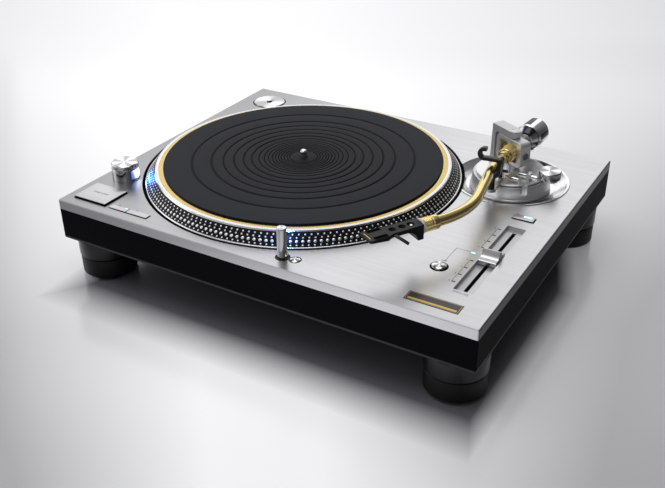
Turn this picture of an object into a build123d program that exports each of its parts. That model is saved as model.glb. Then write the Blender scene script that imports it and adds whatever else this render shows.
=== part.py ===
from build123d import *
import os
from math import atan2, cos, degrees, hypot, radians, sin

os.makedirs("parts", exist_ok=True)

# Direct-drive turntable, in millimetres. Everything is drawn in the deck frame: x to the right,
# y to the back and z up, from the middle of the top plate's upper face.

# Cabinet: its size follows from the platter's well, the tonearm's dish and the rails round them
left_rail = 8.9
front_rail = 10.7
back_rail = 12.1
arm_rail = 16.9
plate_thick = 10.0
cabinet_height = 30.4
base_thick = 3.0
foot_height = 42.7
wall = 6.0
web_thick = 4.0
deck_corner = 1.5
plate_bevel = 0.8
base_round = 1.4
cut_over = 1.0
boss_radius = 5.0
boss_inset = 12.0
boss_side_y = 60.0
screw_radius = 1.65
screw_clear = 0.05
screw_length = 12.0
screw_head = 1.8
screw_head_radius = 3.2

plate_low = -plate_thick
web_low = plate_low - web_thick
cabinet_low = plate_low - cabinet_height
base_low = cabinet_low - base_thick

# Dust cover hinge sockets at the back
hinge_depth = 11.0
hinge_width = 46.0
hinge_height = 26.0
hinge_inset = 41.5
hinge_slot_width = 36.0
hinge_slot_depth = 5.6
hinge_slot_deep = 21.0

# Levelling feet
foot_side_inset = 28.9
foot_front_inset = 29.5
foot_back_inset = 35.0
foot_collar_radius = 28.8
foot_collar_height = 19.0
foot_gap = 0.8
foot_radius = 28.0
foot_bevel = 3.0
foot_pad_radius = 24.0
foot_sole = 0.8
foot_stud_radius = 4.0
foot_stud_over = 9.0
stud_clear = 0.05

# Platter
platter_radius = 166.0
well_gap = 3.1
platter_low = -7.5
platter_roof = 5.8
platter_top = 10.8
rim_wall = 8.0
bead_height = 2.1
bead_low = -1.5
slope_inset = 1.2
slope_width = 10.7
slope_top = 11.5
lip_inset = 0.7
lip_width = 1.0
plate_ring_thick = 2.0
plate_ring_bore = 26.0
plate_ring_shown = 7.2
mat_thick = 2.2
mat_bore_gap = 0.3
mat_groove_deep = 0.9
mat_wide_grooves = [(116.8, 3.4), (96.5, 3.4), (84.0, 2.2), (73.0, 2.2), (63.0, 2.2), (54.5, 2.8)]
mat_fine_grooves = [47.0, 41.5, 37.0, 33.0, 29.7, 26.5, 23.7, 20.5, 17.5, 14.8]
mat_fine_width = 1.2
damper_width = 56.0
damper_inset = 20.0
damper_thick = 2.5

# Spindle, bearing and motor
spindle_radius = 3.6
spindle_top = 23.5
shaft_radius = 4.0
shaft_clear = 0.03
press_clear = 0.01
housing_radius = 12.0
housing_flange_radius = 15.6
housing_flange_thick = 3.5
housing_low = -36.5
thrust_thick = 2.0
hub_radius = 14.0
hub_low = -3.0
hub_bore_clear = 0.02
yoke_plate_radius = 66.0
yoke_plate_thick = 2.5
magnet_inner = 34.0
magnet_outer = 62.0
magnet_thick = 5.6
stator_radius = 64.0
stator_thick = 2.0
coil_count = 9
coil_ring_radius = 47.0
coil_radius = 14.0
coil_hole_radius = 5.0
coil_thick = 3.2

# Buttons in the top plate
button_gap = 0.6
button_travel = 1.5
button_floor_gap = 0.2
stem_radius = 3.0
stem_clear = 0.3
stem_low = -16.0
start_side_inset = 30.9
start_front_inset = 29.0
start_width = 40.8
start_depth = 33.0
start_rise = 2.0
speed_start_gap = 5.6
speed_front_inset = 15.5
speed_depth = 6.8
speed_33_width = 21.1
speed_45_width = 25.5
speed_rise = 0.8
double_side_inset = 34.5
double_slider_gap = 15.8
double_width = 21.0
double_depth = 8.5
double_rise = 1.2
reset_side_inset = 67.7
reset_front_inset = 72.0
reset_hole_radius = 8.4
reset_radius = 7.0
reset_rise = 2.6

# Power knob over the strobe housing
knob_side_inset = 24.9
knob_front_inset = 73.4
knob_radius = 14.1
strobe_height = 12.6
knob_top = 17.8
knob_bevel = 1.2
knob_gap = 0.25
strobe_window_low = 2.2
strobe_window_high = 11.6
strobe_window_half = 9.5
strobe_window_deep = 4.2
strobe_window_turn = -15.0

# Target lamp and its release button
lamp_platter_x = 80.1
lamp_front_inset = 17.6
lamp_radius = 4.75
lamp_top = 30.2
lamp_low = -9.0
lamp_travel = 27.5
lamp_clear = 0.15
sleeve_radius = 6.2
lamp_hole_radius = 7.0
release_lamp_x = 12.2
release_lamp_y = 1.5
release_radius = 5.2
release_hole_radius = 5.9
release_rise = 1.6

# Pitch slider
slider_side_inset = 33.65
slider_front_inset = 45.15
slider_width = 18.3
slider_end_gap = 0.15
slider_travel = 51.9
slider_slot = 3.6
slider_stem_length = 8.0
slider_stem_width = 3.0
slider_end_clear = 1.0
slider_floor = -3.5
slider_knob_width = 17.0
slider_knob_half = 10.5
slider_knob_top = 8.0
slider_ridge_half = 0.8
slider_lip = 1.8
fader_width = 12.0
fader_low = -26.0
fader_clear = 0.4
fader_wall = 2.0

# Plaque and 45 adapter
plaque_side_inset = 48.0
plaque_front_inset = 18.65
plaque_width = 49.0
plaque_depth = 13.1
plaque_thick = 1.0
plaque_proud = 0.2
adapter_side_inset = 35.3
adapter_back_inset = 36.4
adapter_recess_radius = 20.4
adapter_recess_deep = 8.0
adapter_radius = 19.3
adapter_height = 9.2
adapter_bore = 3.62

# Tonearm base
arm_well_gap = 28.8
arm_back = 85.3
dish_radius = 60.2
dish_rise = 0.9
dish_flat = 2.4
dish_floor = -7.0
dish_fall = 18.7
dish_floor_radius = dish_radius - dish_fall
dish_clear = 0.2
ring_low_radius = 41.0
ring_top_radius = 38.2
ring_top = 8.0
ring_foot_gap = 0.3
column_radius = 29.5
column_clear = 0.08
column_spare = 2.0
column_wall = 6.0
platform_radius = 35.5
platform_gap = 0.5
platform_thick = 2.4
platform_lift = 6.0

# Yoke and gimbal, turned this far from the deck's back edge
gimbal_turn = 30.0
arm_height = 32.6
gimbal_below = 12.6
gimbal_above = 14.1
gimbal_low = arm_height - gimbal_below
gimbal_high = arm_height + gimbal_above
gimbal_half = 19.5
gimbal_depth = 12.8
gimbal_side = 5.5
gimbal_bar = 4.0
gimbal_corner = 5.0
yoke_gap = 0.95
yoke_bar = 6.7
yoke_half = 26.5
yoke_column = 5.0
yoke_depth = 13.0
yoke_corner = 2.2
pivot_radius = 1.5
pivot_clear = 0.03
pivot_screw_radius = 2.8
axle_radius = 3.4
axle_pin_radius = 1.2
bush_radius = 3.6

# Gold arm tube: a straight, an arc, a straight, an arc and a straight, headings from the front
tube_radius = 5.0
tube_bore = 3.9
tube_heading = -3.08
tube_first = 34.2
tube_bend_one = 122.4
tube_heading_mid = 10.77
tube_middle = 49.5
tube_bend_two = 85.2
tube_heading_end = -30.0
tube_last = 21.1
tube_start = 20.5
housing_front = 19.5
housing_back = 8.5
arm_housing_radius = 8.0
sleeve_front = 24.0
sleeve_front_radius = 6.2

# Counterweight on the arm's rear stub
stub_radius = 4.2
stub_end = 61.0
weight_sleeve_radius = 7.0
weight_sleeve_start = 28.0
weight_sleeve_end = 57.5
weight_clear = 0.05
weight_start = 36.0
weight_end = 60.0
weight_radius = 14.3
weight_bevel = 1.2
dial_radius = 12.9
dial_front_radius = 8.8
dial_start = 28.2
dial_gap = 0.3

# Collar and headshell, along the tube's end
collar_length = 17.0
collar_radius = 6.9
collar_clear = 0.05
shell_top = 37.8
shell_start = 2.0
shell_tip = 57.0
shell_neck_half = 7.0
shell_plate_half = 9.1
shell_plate_start = 38.5
shell_plate_thick = 4.4
shell_tip_thick = 2.4
shell_neck_thick = 3.6
shell_rear_low = 23.6
shell_rear_end = 7.5
shell_slot_along = 45.0
shell_slot_length = 14.0
shell_slot_width = 3.0
shell_slot_spread = 12.7
shell_hole_radius = 3.4
shell_holes = [30.0, 20.3, 11.6]
plug_radius = 3.8
plug_length = 8.0

# Arm rest, at this distance along the tube from the pivot
rest_along = 51.0
rest_lobe_width = 8.5
rest_lobe_radius = 5.2
rest_post_radius = 3.6
rest_inner_radius = 5.6
rest_wall = 3.8
rest_length = 9.0
rest_lip_gap = 0.6
clamp_gap = 3.2
clamp_thick = 3.4
clamp_pin_radius = 1.1
clamp_tab_radius = 7.0
clamp_tab_thick = 4.0
clamp_tab_x = -8.5
clamp_tab_rise = 4.6

# Controls on the arm platform
skate_x = 40.5
skate_y = 0.0
skate_radius = 11.5
skate_height = 8.0
skate_lobe_radius = 9.0
cue_shaft_radius = 2.4
cue_height = 14.2
cue_start_x = 5.0
cue_start_y = -11.5
cue_end_x = 33.0
cue_end_y = -14.2
cue_handle_reach = 13.6
cue_handle_radius = 1.9
cue_handle_length = 14.0
lift_along = 26.5
lift_rod_radius = 1.8
lift_travel = 5.4
lift_gap = 0.7
lock_angle = 100.0
lock_edge_gap = 12.7
lock_radius = dish_radius - lock_edge_gap
lock_lever_length = 13.0
index_angle = -50.4
index_width = 5.4


def disc(radius, low, high, x=0.0, y=0.0):
    """Upright cylinder."""
    return Pos(x, y, (low + high) / 2) * Cylinder(radius, high - low)


def tube(outer, inner, low, high, x=0.0, y=0.0):
    """Upright ring."""
    return disc(outer, low, high, x, y) - disc(inner, low - cut_over, high + cut_over, x, y)


def slab(width, depth, low, high, x=0.0, y=0.0, corner=0.0):
    """Upright block, its corners rounded if a radius is given."""
    solid = Pos(x, y, (low + high) / 2) * Box(width, depth, high - low)
    if corner:
        solid = fillet(solid.edges().filter_by(Axis.Z), corner)
    return solid


def lathe(points, x=0.0, y=0.0):
    """Solid turned about an upright axis, from radius and height points."""
    outline = make_face(Polyline(*[(radius, 0, height) for radius, height in points], close=True))
    return Pos(x, y, 0) * revolve(outline, Axis.Z)


def rod(start, end, radius):
    """Round bar from one point to another."""
    line = Vector(*end) - Vector(*start)
    middle = Vector(*start) + line * 0.5
    return Plane(origin=middle, z_dir=line) * Cylinder(radius, line.length)


def ring_of(count, radius, piece, first=0.0):
    """Copies of a piece round the z axis, at a radius."""
    return [Rot(0, 0, first + 360.0 / count * index) * Pos(radius, 0, 0) * piece for index in range(count)]


floor_place = Pos(0, -hinge_depth / 2, foot_height - base_low)


def save(name, *solids):
    """Write a node, moved so that the feet stand on zero and the box is centred."""
    whole = solids[0] if len(solids) == 1 else Compound(children=list(solids))
    export_step(floor_place * whole, f"parts/{name}.step")


# Places that follow from the sizes
well_radius = platter_radius + well_gap
slope_top_radius = platter_radius - slope_width
lip_radius = slope_top_radius - lip_inset
plate_ring_radius = lip_radius - lip_width
mat_radius = plate_ring_radius - plate_ring_shown
deck_width = left_rail + 2 * well_radius + arm_well_gap + dish_radius + arm_rail
deck_depth = front_rail + 2 * well_radius + back_rail
left_x = -deck_width / 2
right_x = deck_width / 2
front_y = -deck_depth / 2
back_y = deck_depth / 2
platter_x = left_x + left_rail + well_radius
platter_y = front_y + front_rail + well_radius
arm_x = platter_x + well_radius + arm_well_gap
arm_y = platter_y + arm_back
foot_x = right_x - foot_side_inset
foot_front_y = front_y + foot_front_inset
foot_back_y = back_y - foot_back_inset
start_x = left_x + start_side_inset
start_y = front_y + start_front_inset
speed_left = start_x + start_width / 2 + speed_start_gap
speed_y = front_y + speed_front_inset
slider_length = 2 * (slider_travel + slider_knob_half + slider_end_gap)
slider_x = right_x - slider_side_inset
slider_y = front_y + slider_front_inset + slider_length / 2
double_x = right_x - double_side_inset
double_y = slider_y + slider_length / 2 + double_slider_gap + double_depth / 2
reset_x = right_x - reset_side_inset
reset_y = front_y + reset_front_inset
knob_x = left_x + knob_side_inset
knob_y = front_y + knob_front_inset
lamp_x = platter_x + lamp_platter_x
lamp_y = front_y + lamp_front_inset
release_x = lamp_x + release_lamp_x
release_y = lamp_y + release_lamp_y
plaque_x = right_x - plaque_side_inset
plaque_y = front_y + plaque_front_inset
adapter_x = left_x + adapter_side_inset
adapter_y = back_y - adapter_back_inset
hinge_spread = deck_width - 2 * hinge_inset
button_low = plate_low + button_travel + button_floor_gap
column_low = web_low - platform_lift - column_spare
speed_33_x = speed_left + speed_33_width / 2
speed_45_x = speed_left + speed_33_width + button_gap + speed_45_width / 2
speed_mid_x = speed_left + (speed_33_width + button_gap + speed_45_width) / 2
speed_width = speed_33_width + button_gap + speed_45_width
button_stems = [
    (start_x, start_y), (speed_33_x, speed_y), (speed_45_x, speed_y),
    (double_x, double_y), (reset_x, reset_y), (release_x, release_y),
]
bosses = [
    (side * (deck_width / 2 - boss_inset), end * boss_side_y) for side in (-1, 1) for end in (-1, 1)
] + [(0.0, end * (deck_depth / 2 - boss_inset)) for end in (-1, 1)]
slider_slot_length = 2 * slider_travel + slider_stem_length + 2 * slider_end_clear
feet = {
    "front_left": (-foot_x, foot_front_y), "front_right": (foot_x, foot_front_y),
    "back_left": (-foot_x, foot_back_y), "back_right": (foot_x, foot_back_y),
}
plate_ring_top = platter_top + plate_ring_thick
mat_top = plate_ring_top + mat_thick
platform_low = ring_top + platform_gap
platform_top = platform_low + platform_thick


# Top plate
top_plate = slab(deck_width, deck_depth, plate_low, 0, corner=deck_corner)
top_plate = chamfer(top_plate.faces().sort_by(Axis.Z)[-1].edges(), plate_bevel)
top_plate -= disc(well_radius, plate_low - cut_over, cut_over, platter_x, platter_y)
top_plate -= disc(dish_radius + dish_clear, plate_low - cut_over, cut_over, arm_x, arm_y)
top_plate -= slab(start_width + 2 * button_gap, start_depth + 2 * button_gap, plate_low - cut_over, cut_over,
                  start_x, start_y, corner=1.2)
top_plate -= slab(speed_width + 2 * button_gap, speed_depth + 2 * button_gap, plate_low - cut_over, cut_over,
                  speed_mid_x, speed_y, corner=1.0)
top_plate -= slab(double_width + 2 * button_gap, double_depth + 2 * button_gap, plate_low - cut_over, cut_over,
                  double_x, double_y, corner=1.0)
top_plate -= disc(reset_hole_radius, plate_low - cut_over, cut_over, reset_x, reset_y)
top_plate -= disc(lamp_hole_radius, plate_low - cut_over, cut_over, lamp_x, lamp_y)
top_plate -= disc(release_hole_radius, plate_low - cut_over, cut_over, release_x, release_y)
top_plate -= slab(slider_width, slider_length, plate_low - cut_over, cut_over, slider_x, slider_y, corner=0.8)
top_plate -= slab(plaque_width + 0.2, plaque_depth + 0.2, plaque_proud - plaque_thick, cut_over, plaque_x, plaque_y)
top_plate -= disc(adapter_recess_radius, -adapter_recess_deep, cut_over, adapter_x, adapter_y)
top_plate -= disc(stem_radius + stem_clear, plate_low - cut_over, cut_over, knob_x, knob_y)
save("top_plate", top_plate)

# Cabinet: black walls round an open box, closed above by a web that the top plate lies on
cabinet = slab(deck_width, deck_depth, cabinet_low, plate_low, corner=deck_corner)
cabinet -= slab(deck_width - 2 * wall, deck_depth - 2 * wall, cabinet_low - cut_over, web_low)
cabinet -= disc(housing_radius + press_clear, web_low - cut_over, plate_low + cut_over, platter_x, platter_y)
cabinet -= disc(column_radius + column_clear, web_low - cut_over, plate_low + cut_over, arm_x, arm_y)
cabinet -= disc(sleeve_radius + press_clear, web_low - cut_over, plate_low + cut_over, lamp_x, lamp_y)
cabinet -= disc(stem_radius + stem_clear, web_low - cut_over, plate_low + cut_over, knob_x, knob_y)
cabinet -= slab(fader_width + fader_clear, slider_length + fader_clear, web_low - cut_over, plate_low + cut_over,
                slider_x, slider_y)
for stem_x, stem_y in button_stems:
    cabinet -= disc(stem_radius + stem_clear, web_low - cut_over, plate_low + cut_over, stem_x, stem_y)

# Rear openings: mains inlet on the left, terminal panel on the right
inlet_hinge_gap = 75.5
inlet_flange = 2.5
inlet_z = -27.0
inlet_width = 28.0
inlet_height = 20.0
inlet_deep = 20.0
inlet_wall = 1.8
inlet_pin_inset = 6.0
inlet_x = (hinge_width - hinge_spread + inlet_width) / 2 + inlet_hinge_gap + inlet_flange
panel_hinge_gap = 9.0
panel_z = -27.0
panel_width = 76.0
panel_height = 20.0
panel_thick = 2.0
panel_lip = 3.0
panel_x = (hinge_spread - hinge_width - panel_width) / 2 - panel_hinge_gap - panel_lip


def rear_block(width, height, x, z, front, back, corner=0.0):
    """Block seen from the back, from one depth to another."""
    solid = Pos(x, (front + back) / 2, z) * Box(width, back - front, height)
    if corner:
        solid = fillet(solid.edges().filter_by(Axis.Y), corner)
    return solid


cabinet -= rear_block(inlet_width, inlet_height, inlet_x, inlet_z, back_y - wall - cut_over, back_y + cut_over)
cabinet -= rear_block(panel_width, panel_height, panel_x, panel_z, back_y - wall - cut_over, back_y + cut_over)
for boss_place in bosses:
    cabinet += disc(boss_radius, cabinet_low, web_low, *boss_place)
    cabinet -= disc(screw_radius + screw_clear, cabinet_low - cut_over, cabinet_low + screw_length, *boss_place)
save("cabinet", cabinet)

# Bottom cover, closing the cabinet: its rounded edge shows as a lip under the black sides
base_cover = slab(deck_width, deck_depth, base_low, cabinet_low, corner=deck_corner)
base_cover = fillet(base_cover.faces().sort_by(Axis.Z)[0].edges(), base_round)
base_screws = []
for boss_place in bosses:
    base_cover -= disc(screw_radius + screw_clear, base_low - cut_over, cabinet_low + cut_over, *boss_place)
    screw = disc(screw_radius, base_low, cabinet_low + screw_length - 2.0, *boss_place)
    screw += disc(screw_head_radius, base_low - screw_head, base_low, *boss_place)
    for cross in ((4.4, 0.8), (0.8, 4.4)):
        screw -= slab(*cross, base_low - screw_head - cut_over, base_low - screw_head / 2, *boss_place)
    base_screws.append(screw)
for foot_place in feet.values():
    base_cover -= disc(foot_stud_radius + stud_clear, base_low - cut_over, cabinet_low + cut_over, *foot_place)
save("base_cover", base_cover)
save("base_screws", *base_screws)

# Levelling feet: a fixed collar under the base and a lower body that screws in and out
collar_low = base_low - foot_collar_height
body_high = collar_low - foot_gap
foot_low = base_low - foot_height
foot_collars = []
for foot_place in feet.values():
    collar = lathe([
        (foot_stud_radius + stud_clear, base_low), (foot_collar_radius - 0.6, base_low),
        (foot_collar_radius, base_low - 0.6), (foot_collar_radius, collar_low + 0.8),
        (foot_collar_radius - 0.8, collar_low), (foot_stud_radius + stud_clear, collar_low),
    ], *foot_place)
    foot_collars.append(collar)
save("foot_collars", *foot_collars)
sole_low = foot_low + foot_sole
for foot_name, foot_place in feet.items():
    foot = lathe([
        (0, foot_low), (foot_pad_radius, foot_low), (foot_pad_radius, sole_low),
        (foot_radius - foot_bevel, sole_low), (foot_radius, sole_low + foot_bevel),
        (foot_radius, body_high - 0.8), (foot_radius - 0.8, body_high), (foot_stud_radius, body_high),
        (foot_stud_radius, cabinet_low + foot_stud_over), (0, cabinet_low + foot_stud_over),
    ], *foot_place)
    save(f"foot_{foot_name}", foot)

# Dust cover hinge sockets, screwed on the cabinet's back, with a slot open at the top
hinge_top = plate_low - 2.0
hinge_sockets = []
for hinge_side in (-1, 1):
    hinge_x = hinge_side * hinge_spread / 2
    hinge_z = hinge_top - hinge_height / 2
    socket = rear_block(hinge_width, hinge_height, hinge_x, hinge_z, back_y, back_y + hinge_depth)
    socket = fillet(socket.edges().filter_by(Axis.Y), 2.0)
    slot_low = hinge_top - hinge_slot_deep
    slot_y = back_y + hinge_depth / 2
    socket -= slab(hinge_slot_width, hinge_slot_depth, slot_low, hinge_top + cut_over, hinge_x, slot_y)
    hinge_sockets.append(socket)
save("hinge_sockets", *hinge_sockets)

# Mains inlet with three pins, let into the cabinet's back
inlet_back = back_y + 1.2
inlet_inner_width = inlet_width - 2 * inlet_wall
inlet_inner_height = inlet_height - 2 * inlet_wall
inlet = rear_block(inlet_width - 0.2, inlet_height - 0.2, inlet_x, inlet_z, back_y - inlet_deep, back_y)
inlet += rear_block(inlet_width + 2 * inlet_flange, inlet_height + 4.0, inlet_x, inlet_z, back_y, inlet_back, corner=1.5)
inlet -= rear_block(inlet_inner_width, inlet_inner_height, inlet_x, inlet_z,
                    back_y - inlet_deep + inlet_wall, inlet_back + cut_over, corner=2.0)
for pin_x, pin_z in ((-7.0, -2.0), (0.0, 3.0), (7.0, -2.0)):
    inlet += rear_block(2.0, 4.0, inlet_x + pin_x, inlet_z + pin_z, back_y - inlet_deep, back_y - inlet_pin_inset)
save("mains_inlet", inlet)

# Terminal panel with two phono jacks and the earth terminal
jack_radius = 4.15
jack_length = 8.2
jack_bore = 1.7
jack_spread = 19.0
jack_x = panel_x - 12.0
earth_x = panel_x + 24.0
panel_back = back_y + 0.8
panel = rear_block(panel_width - 0.2, panel_height - 0.2, panel_x, panel_z, back_y - panel_thick, back_y)
panel += rear_block(panel_width + 2 * panel_lip, panel_height + 4.0, panel_x, panel_z, back_y, panel_back, corner=1.5)
jacks = []
for jack_side in (-1, 1):
    x = jack_x + jack_side * jack_spread / 2
    jack_start = (x, back_y - panel_thick - 4.0, panel_z)
    jack = rod((x, panel_back, panel_z), (x, panel_back + jack_length, panel_z), jack_radius)
    jack += rod((x, panel_back, panel_z), (x, panel_back + 1.2, panel_z), jack_radius + 1.6)
    jack += rod(jack_start, (x, panel_back, panel_z), 3.0)
    jack -= rod((x, panel_back + 0.5, panel_z), (x, panel_back + jack_length + 1.0, panel_z), jack_bore)
    panel -= rod(jack_start, (x, panel_back + 1.0, panel_z), 3.02)
    jacks.append(jack)
earth = rod((earth_x, back_y - panel_thick - 4.0, panel_z), (earth_x, panel_back + 8.4, panel_z), 2.0)
earth += rod((earth_x, panel_back + 2.6, panel_z), (earth_x, panel_back + 7.0, panel_z), 4.6)
earth += rod((earth_x, panel_back, panel_z), (earth_x, panel_back + 1.0, panel_z), 4.4)
panel -= rod((earth_x, back_y - panel_thick - 1.0, panel_z), (earth_x, panel_back + 1.0, panel_z), 2.02)
save("terminal_panel", panel)
save("rear_terminals", *jacks, earth)

# Boards inside the cabinet, on posts that stand on the bottom cover
board_thick = 1.6
board_post_radius = 3.0
supply_width = 90.0
supply_depth = 70.0
supply_post = 6.0
supply_x = left_x + 41.5 + supply_width / 2
supply_y = back_y - 20.5 - supply_depth / 2
supply_low = cabinet_low + supply_post
supply_top = supply_low + board_thick
transformer_width = 26.0
transformer_depth = 22.0
transformer_height = 15.4
transformer_x = 20.0
capacitor_radius = 8.0
capacitor_height = 16.4
capacitor_x = 18.0
capacitor_y = 14.0
sink_thick = 8.0
sink_length = 46.0
sink_height = 14.4
sink_x = 36.0
supply = slab(supply_width, supply_depth, supply_low, supply_top, supply_x, supply_y)
supply += slab(transformer_width, transformer_depth, supply_top, supply_top + transformer_height,
               supply_x - transformer_x, supply_y)
for capacitor_side in (-1, 1):
    supply += disc(capacitor_radius, supply_top, supply_top + capacitor_height, supply_x + capacitor_x,
                   supply_y + capacitor_side * capacitor_y)
supply += slab(sink_thick, sink_length, supply_top, supply_top + sink_height, supply_x + sink_x, supply_y)
for side in (-1, 1):
    for end in (-1, 1):
        supply += disc(board_post_radius, cabinet_low, supply_low, supply_x + side * (supply_width / 2 - 7.0),
                       supply_y + end * (supply_depth / 2 - 5.0))
save("power_supply", supply)
control_width = 120.0
control_depth = 50.0
control_post = 8.0
control_x = right_x - 106.5 - control_width / 2
control_y = front_y + 35.5 + control_depth / 2
control_low = cabinet_low + control_post
control_top = control_low + board_thick
chip_side = 16.0
chip_height = 2.0
chip_x = 10.0
connector_width = 24.0
connector_depth = 8.0
connector_height = 5.4
connector_x = 30.0
connector_y = 12.0
control = slab(control_width, control_depth, control_low, control_top, control_x, control_y)
control += slab(chip_side, chip_side, control_top, control_top + chip_height, control_x + chip_x, control_y)
control += slab(connector_width, connector_depth, control_top, control_top + connector_height,
                control_x - connector_x, control_y + connector_y)
for side in (-1, 1):
    for end in (-1, 1):
        control += disc(board_post_radius, cabinet_low, control_low, control_x + side * (control_width / 2 - 6.0),
                        control_y + end * (control_depth / 2 - 5.0))
save("control_board", control)

# Buttons, each a cap in the plate on a stem that slides in the web
def button(width, depth, rise, x, y, corner):
    """Flat push button with a rounded rim and its stem."""
    cap = slab(width, depth, button_low, rise, x, y, corner)
    cap = fillet(cap.faces().sort_by(Axis.Z)[-1].edges(), 0.35)
    return cap + disc(stem_radius, stem_low, button_low, x, y)


save("start_button", button(start_width, start_depth, start_rise, start_x, start_y, 1.0))
save("speed_button_33", button(speed_33_width, speed_depth, speed_rise, speed_33_x, speed_y, 0.6))
save("speed_button_45", button(speed_45_width, speed_depth, speed_rise, speed_45_x, speed_y, 0.6))
save("double_speed_button", button(double_width, double_depth, double_rise, double_x, double_y, 0.8))


def round_button(points, x, y):
    """Turned push button with its stem."""
    return lathe([(0, stem_low), (stem_radius, stem_low), (stem_radius, button_low)] + points, x, y)


save("reset_button", round_button([
    (reset_radius, button_low), (reset_radius, 0.9), (reset_radius - 0.7, 1.7),
    (reset_radius - 2.4, 2.3), (0, reset_rise),
], reset_x, reset_y))
save("lamp_release_button", round_button([
    (release_radius, button_low), (release_radius, 0.3), (release_radius - 0.6, 0.8),
    (1.6, release_rise), (0, release_rise),
], release_x, release_y))

# Strobe housing with its window, and the power knob that turns on top of it
knob_to_platter = degrees(atan2(platter_y - knob_y, platter_x - knob_x))
strobe_place = Pos(knob_x, knob_y, 0) * Rot(0, 0, knob_to_platter + strobe_window_turn)
strobe_housing = lathe([
    (stem_radius + stem_clear, 0), (knob_radius - 0.3, 0), (knob_radius - 0.3, 0.6), (knob_radius, 0.6),
    (knob_radius, strobe_height), (stem_radius + stem_clear, strobe_height),
], knob_x, knob_y)
window_middle = (strobe_window_low + strobe_window_high) / 2
window_height = strobe_window_high - strobe_window_low
window_cut = Pos(knob_radius, 0, window_middle) * Box(2 * strobe_window_deep, 2 * strobe_window_half, window_height)
strobe_housing -= strobe_place * window_cut
save("strobe_housing", strobe_housing)
lens = Pos(knob_radius, 0, window_middle) * Box(
    2 * strobe_window_deep - 0.1, 2 * strobe_window_half - 0.1, window_height - 0.1)
lens &= disc(knob_radius - 0.4, strobe_window_low, strobe_window_high)
save("strobe_lens", strobe_place * lens)
save("power_knob", lathe([
    (0, stem_low), (stem_radius, stem_low), (stem_radius, strobe_height + knob_gap),
    (knob_radius, strobe_height + knob_gap), (knob_radius, knob_top - knob_bevel),
    (knob_radius - knob_bevel, knob_top), (0, knob_top - 0.25),
], knob_x, knob_y))

# Target lamp, pushed down into its sleeve, and the sleeve fixed in the web
lamp = lathe([
    (0, lamp_low), (lamp_radius, lamp_low), (lamp_radius, lamp_top - 0.6), (lamp_radius - 0.6, lamp_top),
    (0, lamp_top),
], lamp_x, lamp_y)
lamp_to_platter = degrees(atan2(platter_y - lamp_y, platter_x - lamp_x))
lamp_window = Pos(lamp_radius, 0, lamp_top - 4.5) * Box(2.4, 4.6, 4.6)
lamp -= Pos(lamp_x, lamp_y, 0) * Rot(0, 0, lamp_to_platter) * lamp_window
save("target_lamp", lamp)
sleeve_low = lamp_low - lamp_travel - 1.0
lamp_sleeve = tube(sleeve_radius, lamp_radius + lamp_clear, sleeve_low, -0.8, lamp_x, lamp_y)
lamp_sleeve += tube(lamp_hole_radius - 0.1, lamp_radius + lamp_clear, plate_low, -0.8, lamp_x, lamp_y)
save("lamp_sleeve", lamp_sleeve)

# Pitch slider: a metal well with its fader below, and a saddle knob on a flat stem
well = slab(slider_width - 0.1, slider_length - 0.1, plate_low, slider_floor, slider_x, slider_y, corner=0.7)
well -= slab(slider_slot, slider_slot_length, plate_low - cut_over, slider_floor + cut_over, slider_x, slider_y)
fader = slab(fader_width, slider_length - 0.1, fader_low, plate_low, slider_x, slider_y)
fader -= slab(fader_width - 2 * fader_wall, slider_slot_length + fader_wall, fader_low + fader_wall,
              plate_low + cut_over, slider_x, slider_y)
save("slider_well", well + fader)
knob_base = slider_floor + 0.6
half = slider_knob_half
ridge = slider_ridge_half
knob_side = Polyline((-half, knob_base), (half, knob_base), (half, knob_base + 1.2))
knob_side += ThreePointArc((half, knob_base + 1.2), (half - 1.0, slider_lip - 0.9), (half - 3.2, slider_lip))
knob_side += ThreePointArc((half - 3.2, slider_lip), (3.0, slider_lip + 1.1), (ridge, slider_knob_top))
knob_side += Line((ridge, slider_knob_top), (-ridge, slider_knob_top))
knob_side += ThreePointArc((-ridge, slider_knob_top), (-3.0, slider_lip + 1.1), (3.2 - half, slider_lip))
knob_side += ThreePointArc((3.2 - half, slider_lip), (1.0 - half, slider_lip - 0.9), (-half, knob_base + 1.2))
knob_side += Line((-half, knob_base + 1.2), (-half, knob_base))
slider_knob = extrude(Plane.YZ * make_face(knob_side), slider_knob_width / 2, both=True)
slider_knob = Pos(slider_x, slider_y, 0) * slider_knob
slider_knob += slab(slider_stem_width, slider_stem_length, fader_low + 6.0, knob_base, slider_x, slider_y)
save("slider_knob", slider_knob)

# Plaque in its shallow recess
plaque = slab(plaque_width, plaque_depth, plaque_proud - plaque_thick, plaque_proud, plaque_x, plaque_y)
save("plaque", plaque)

# Adapter for records with a large hole, lying in its recess
adapter = lathe([
    (adapter_bore, -adapter_recess_deep), (adapter_radius - 1.0, -adapter_recess_deep),
    (adapter_radius, 1.0 - adapter_recess_deep), (adapter_radius, adapter_height - adapter_recess_deep - 0.8),
    (adapter_radius - 0.8, adapter_height - adapter_recess_deep), (6.4, adapter_height - adapter_recess_deep),
    (5.6, adapter_height - adapter_recess_deep - 0.6), (adapter_bore, adapter_height - adapter_recess_deep - 0.6),
], adapter_x, adapter_y)
save("record_adapter", adapter)

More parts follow.
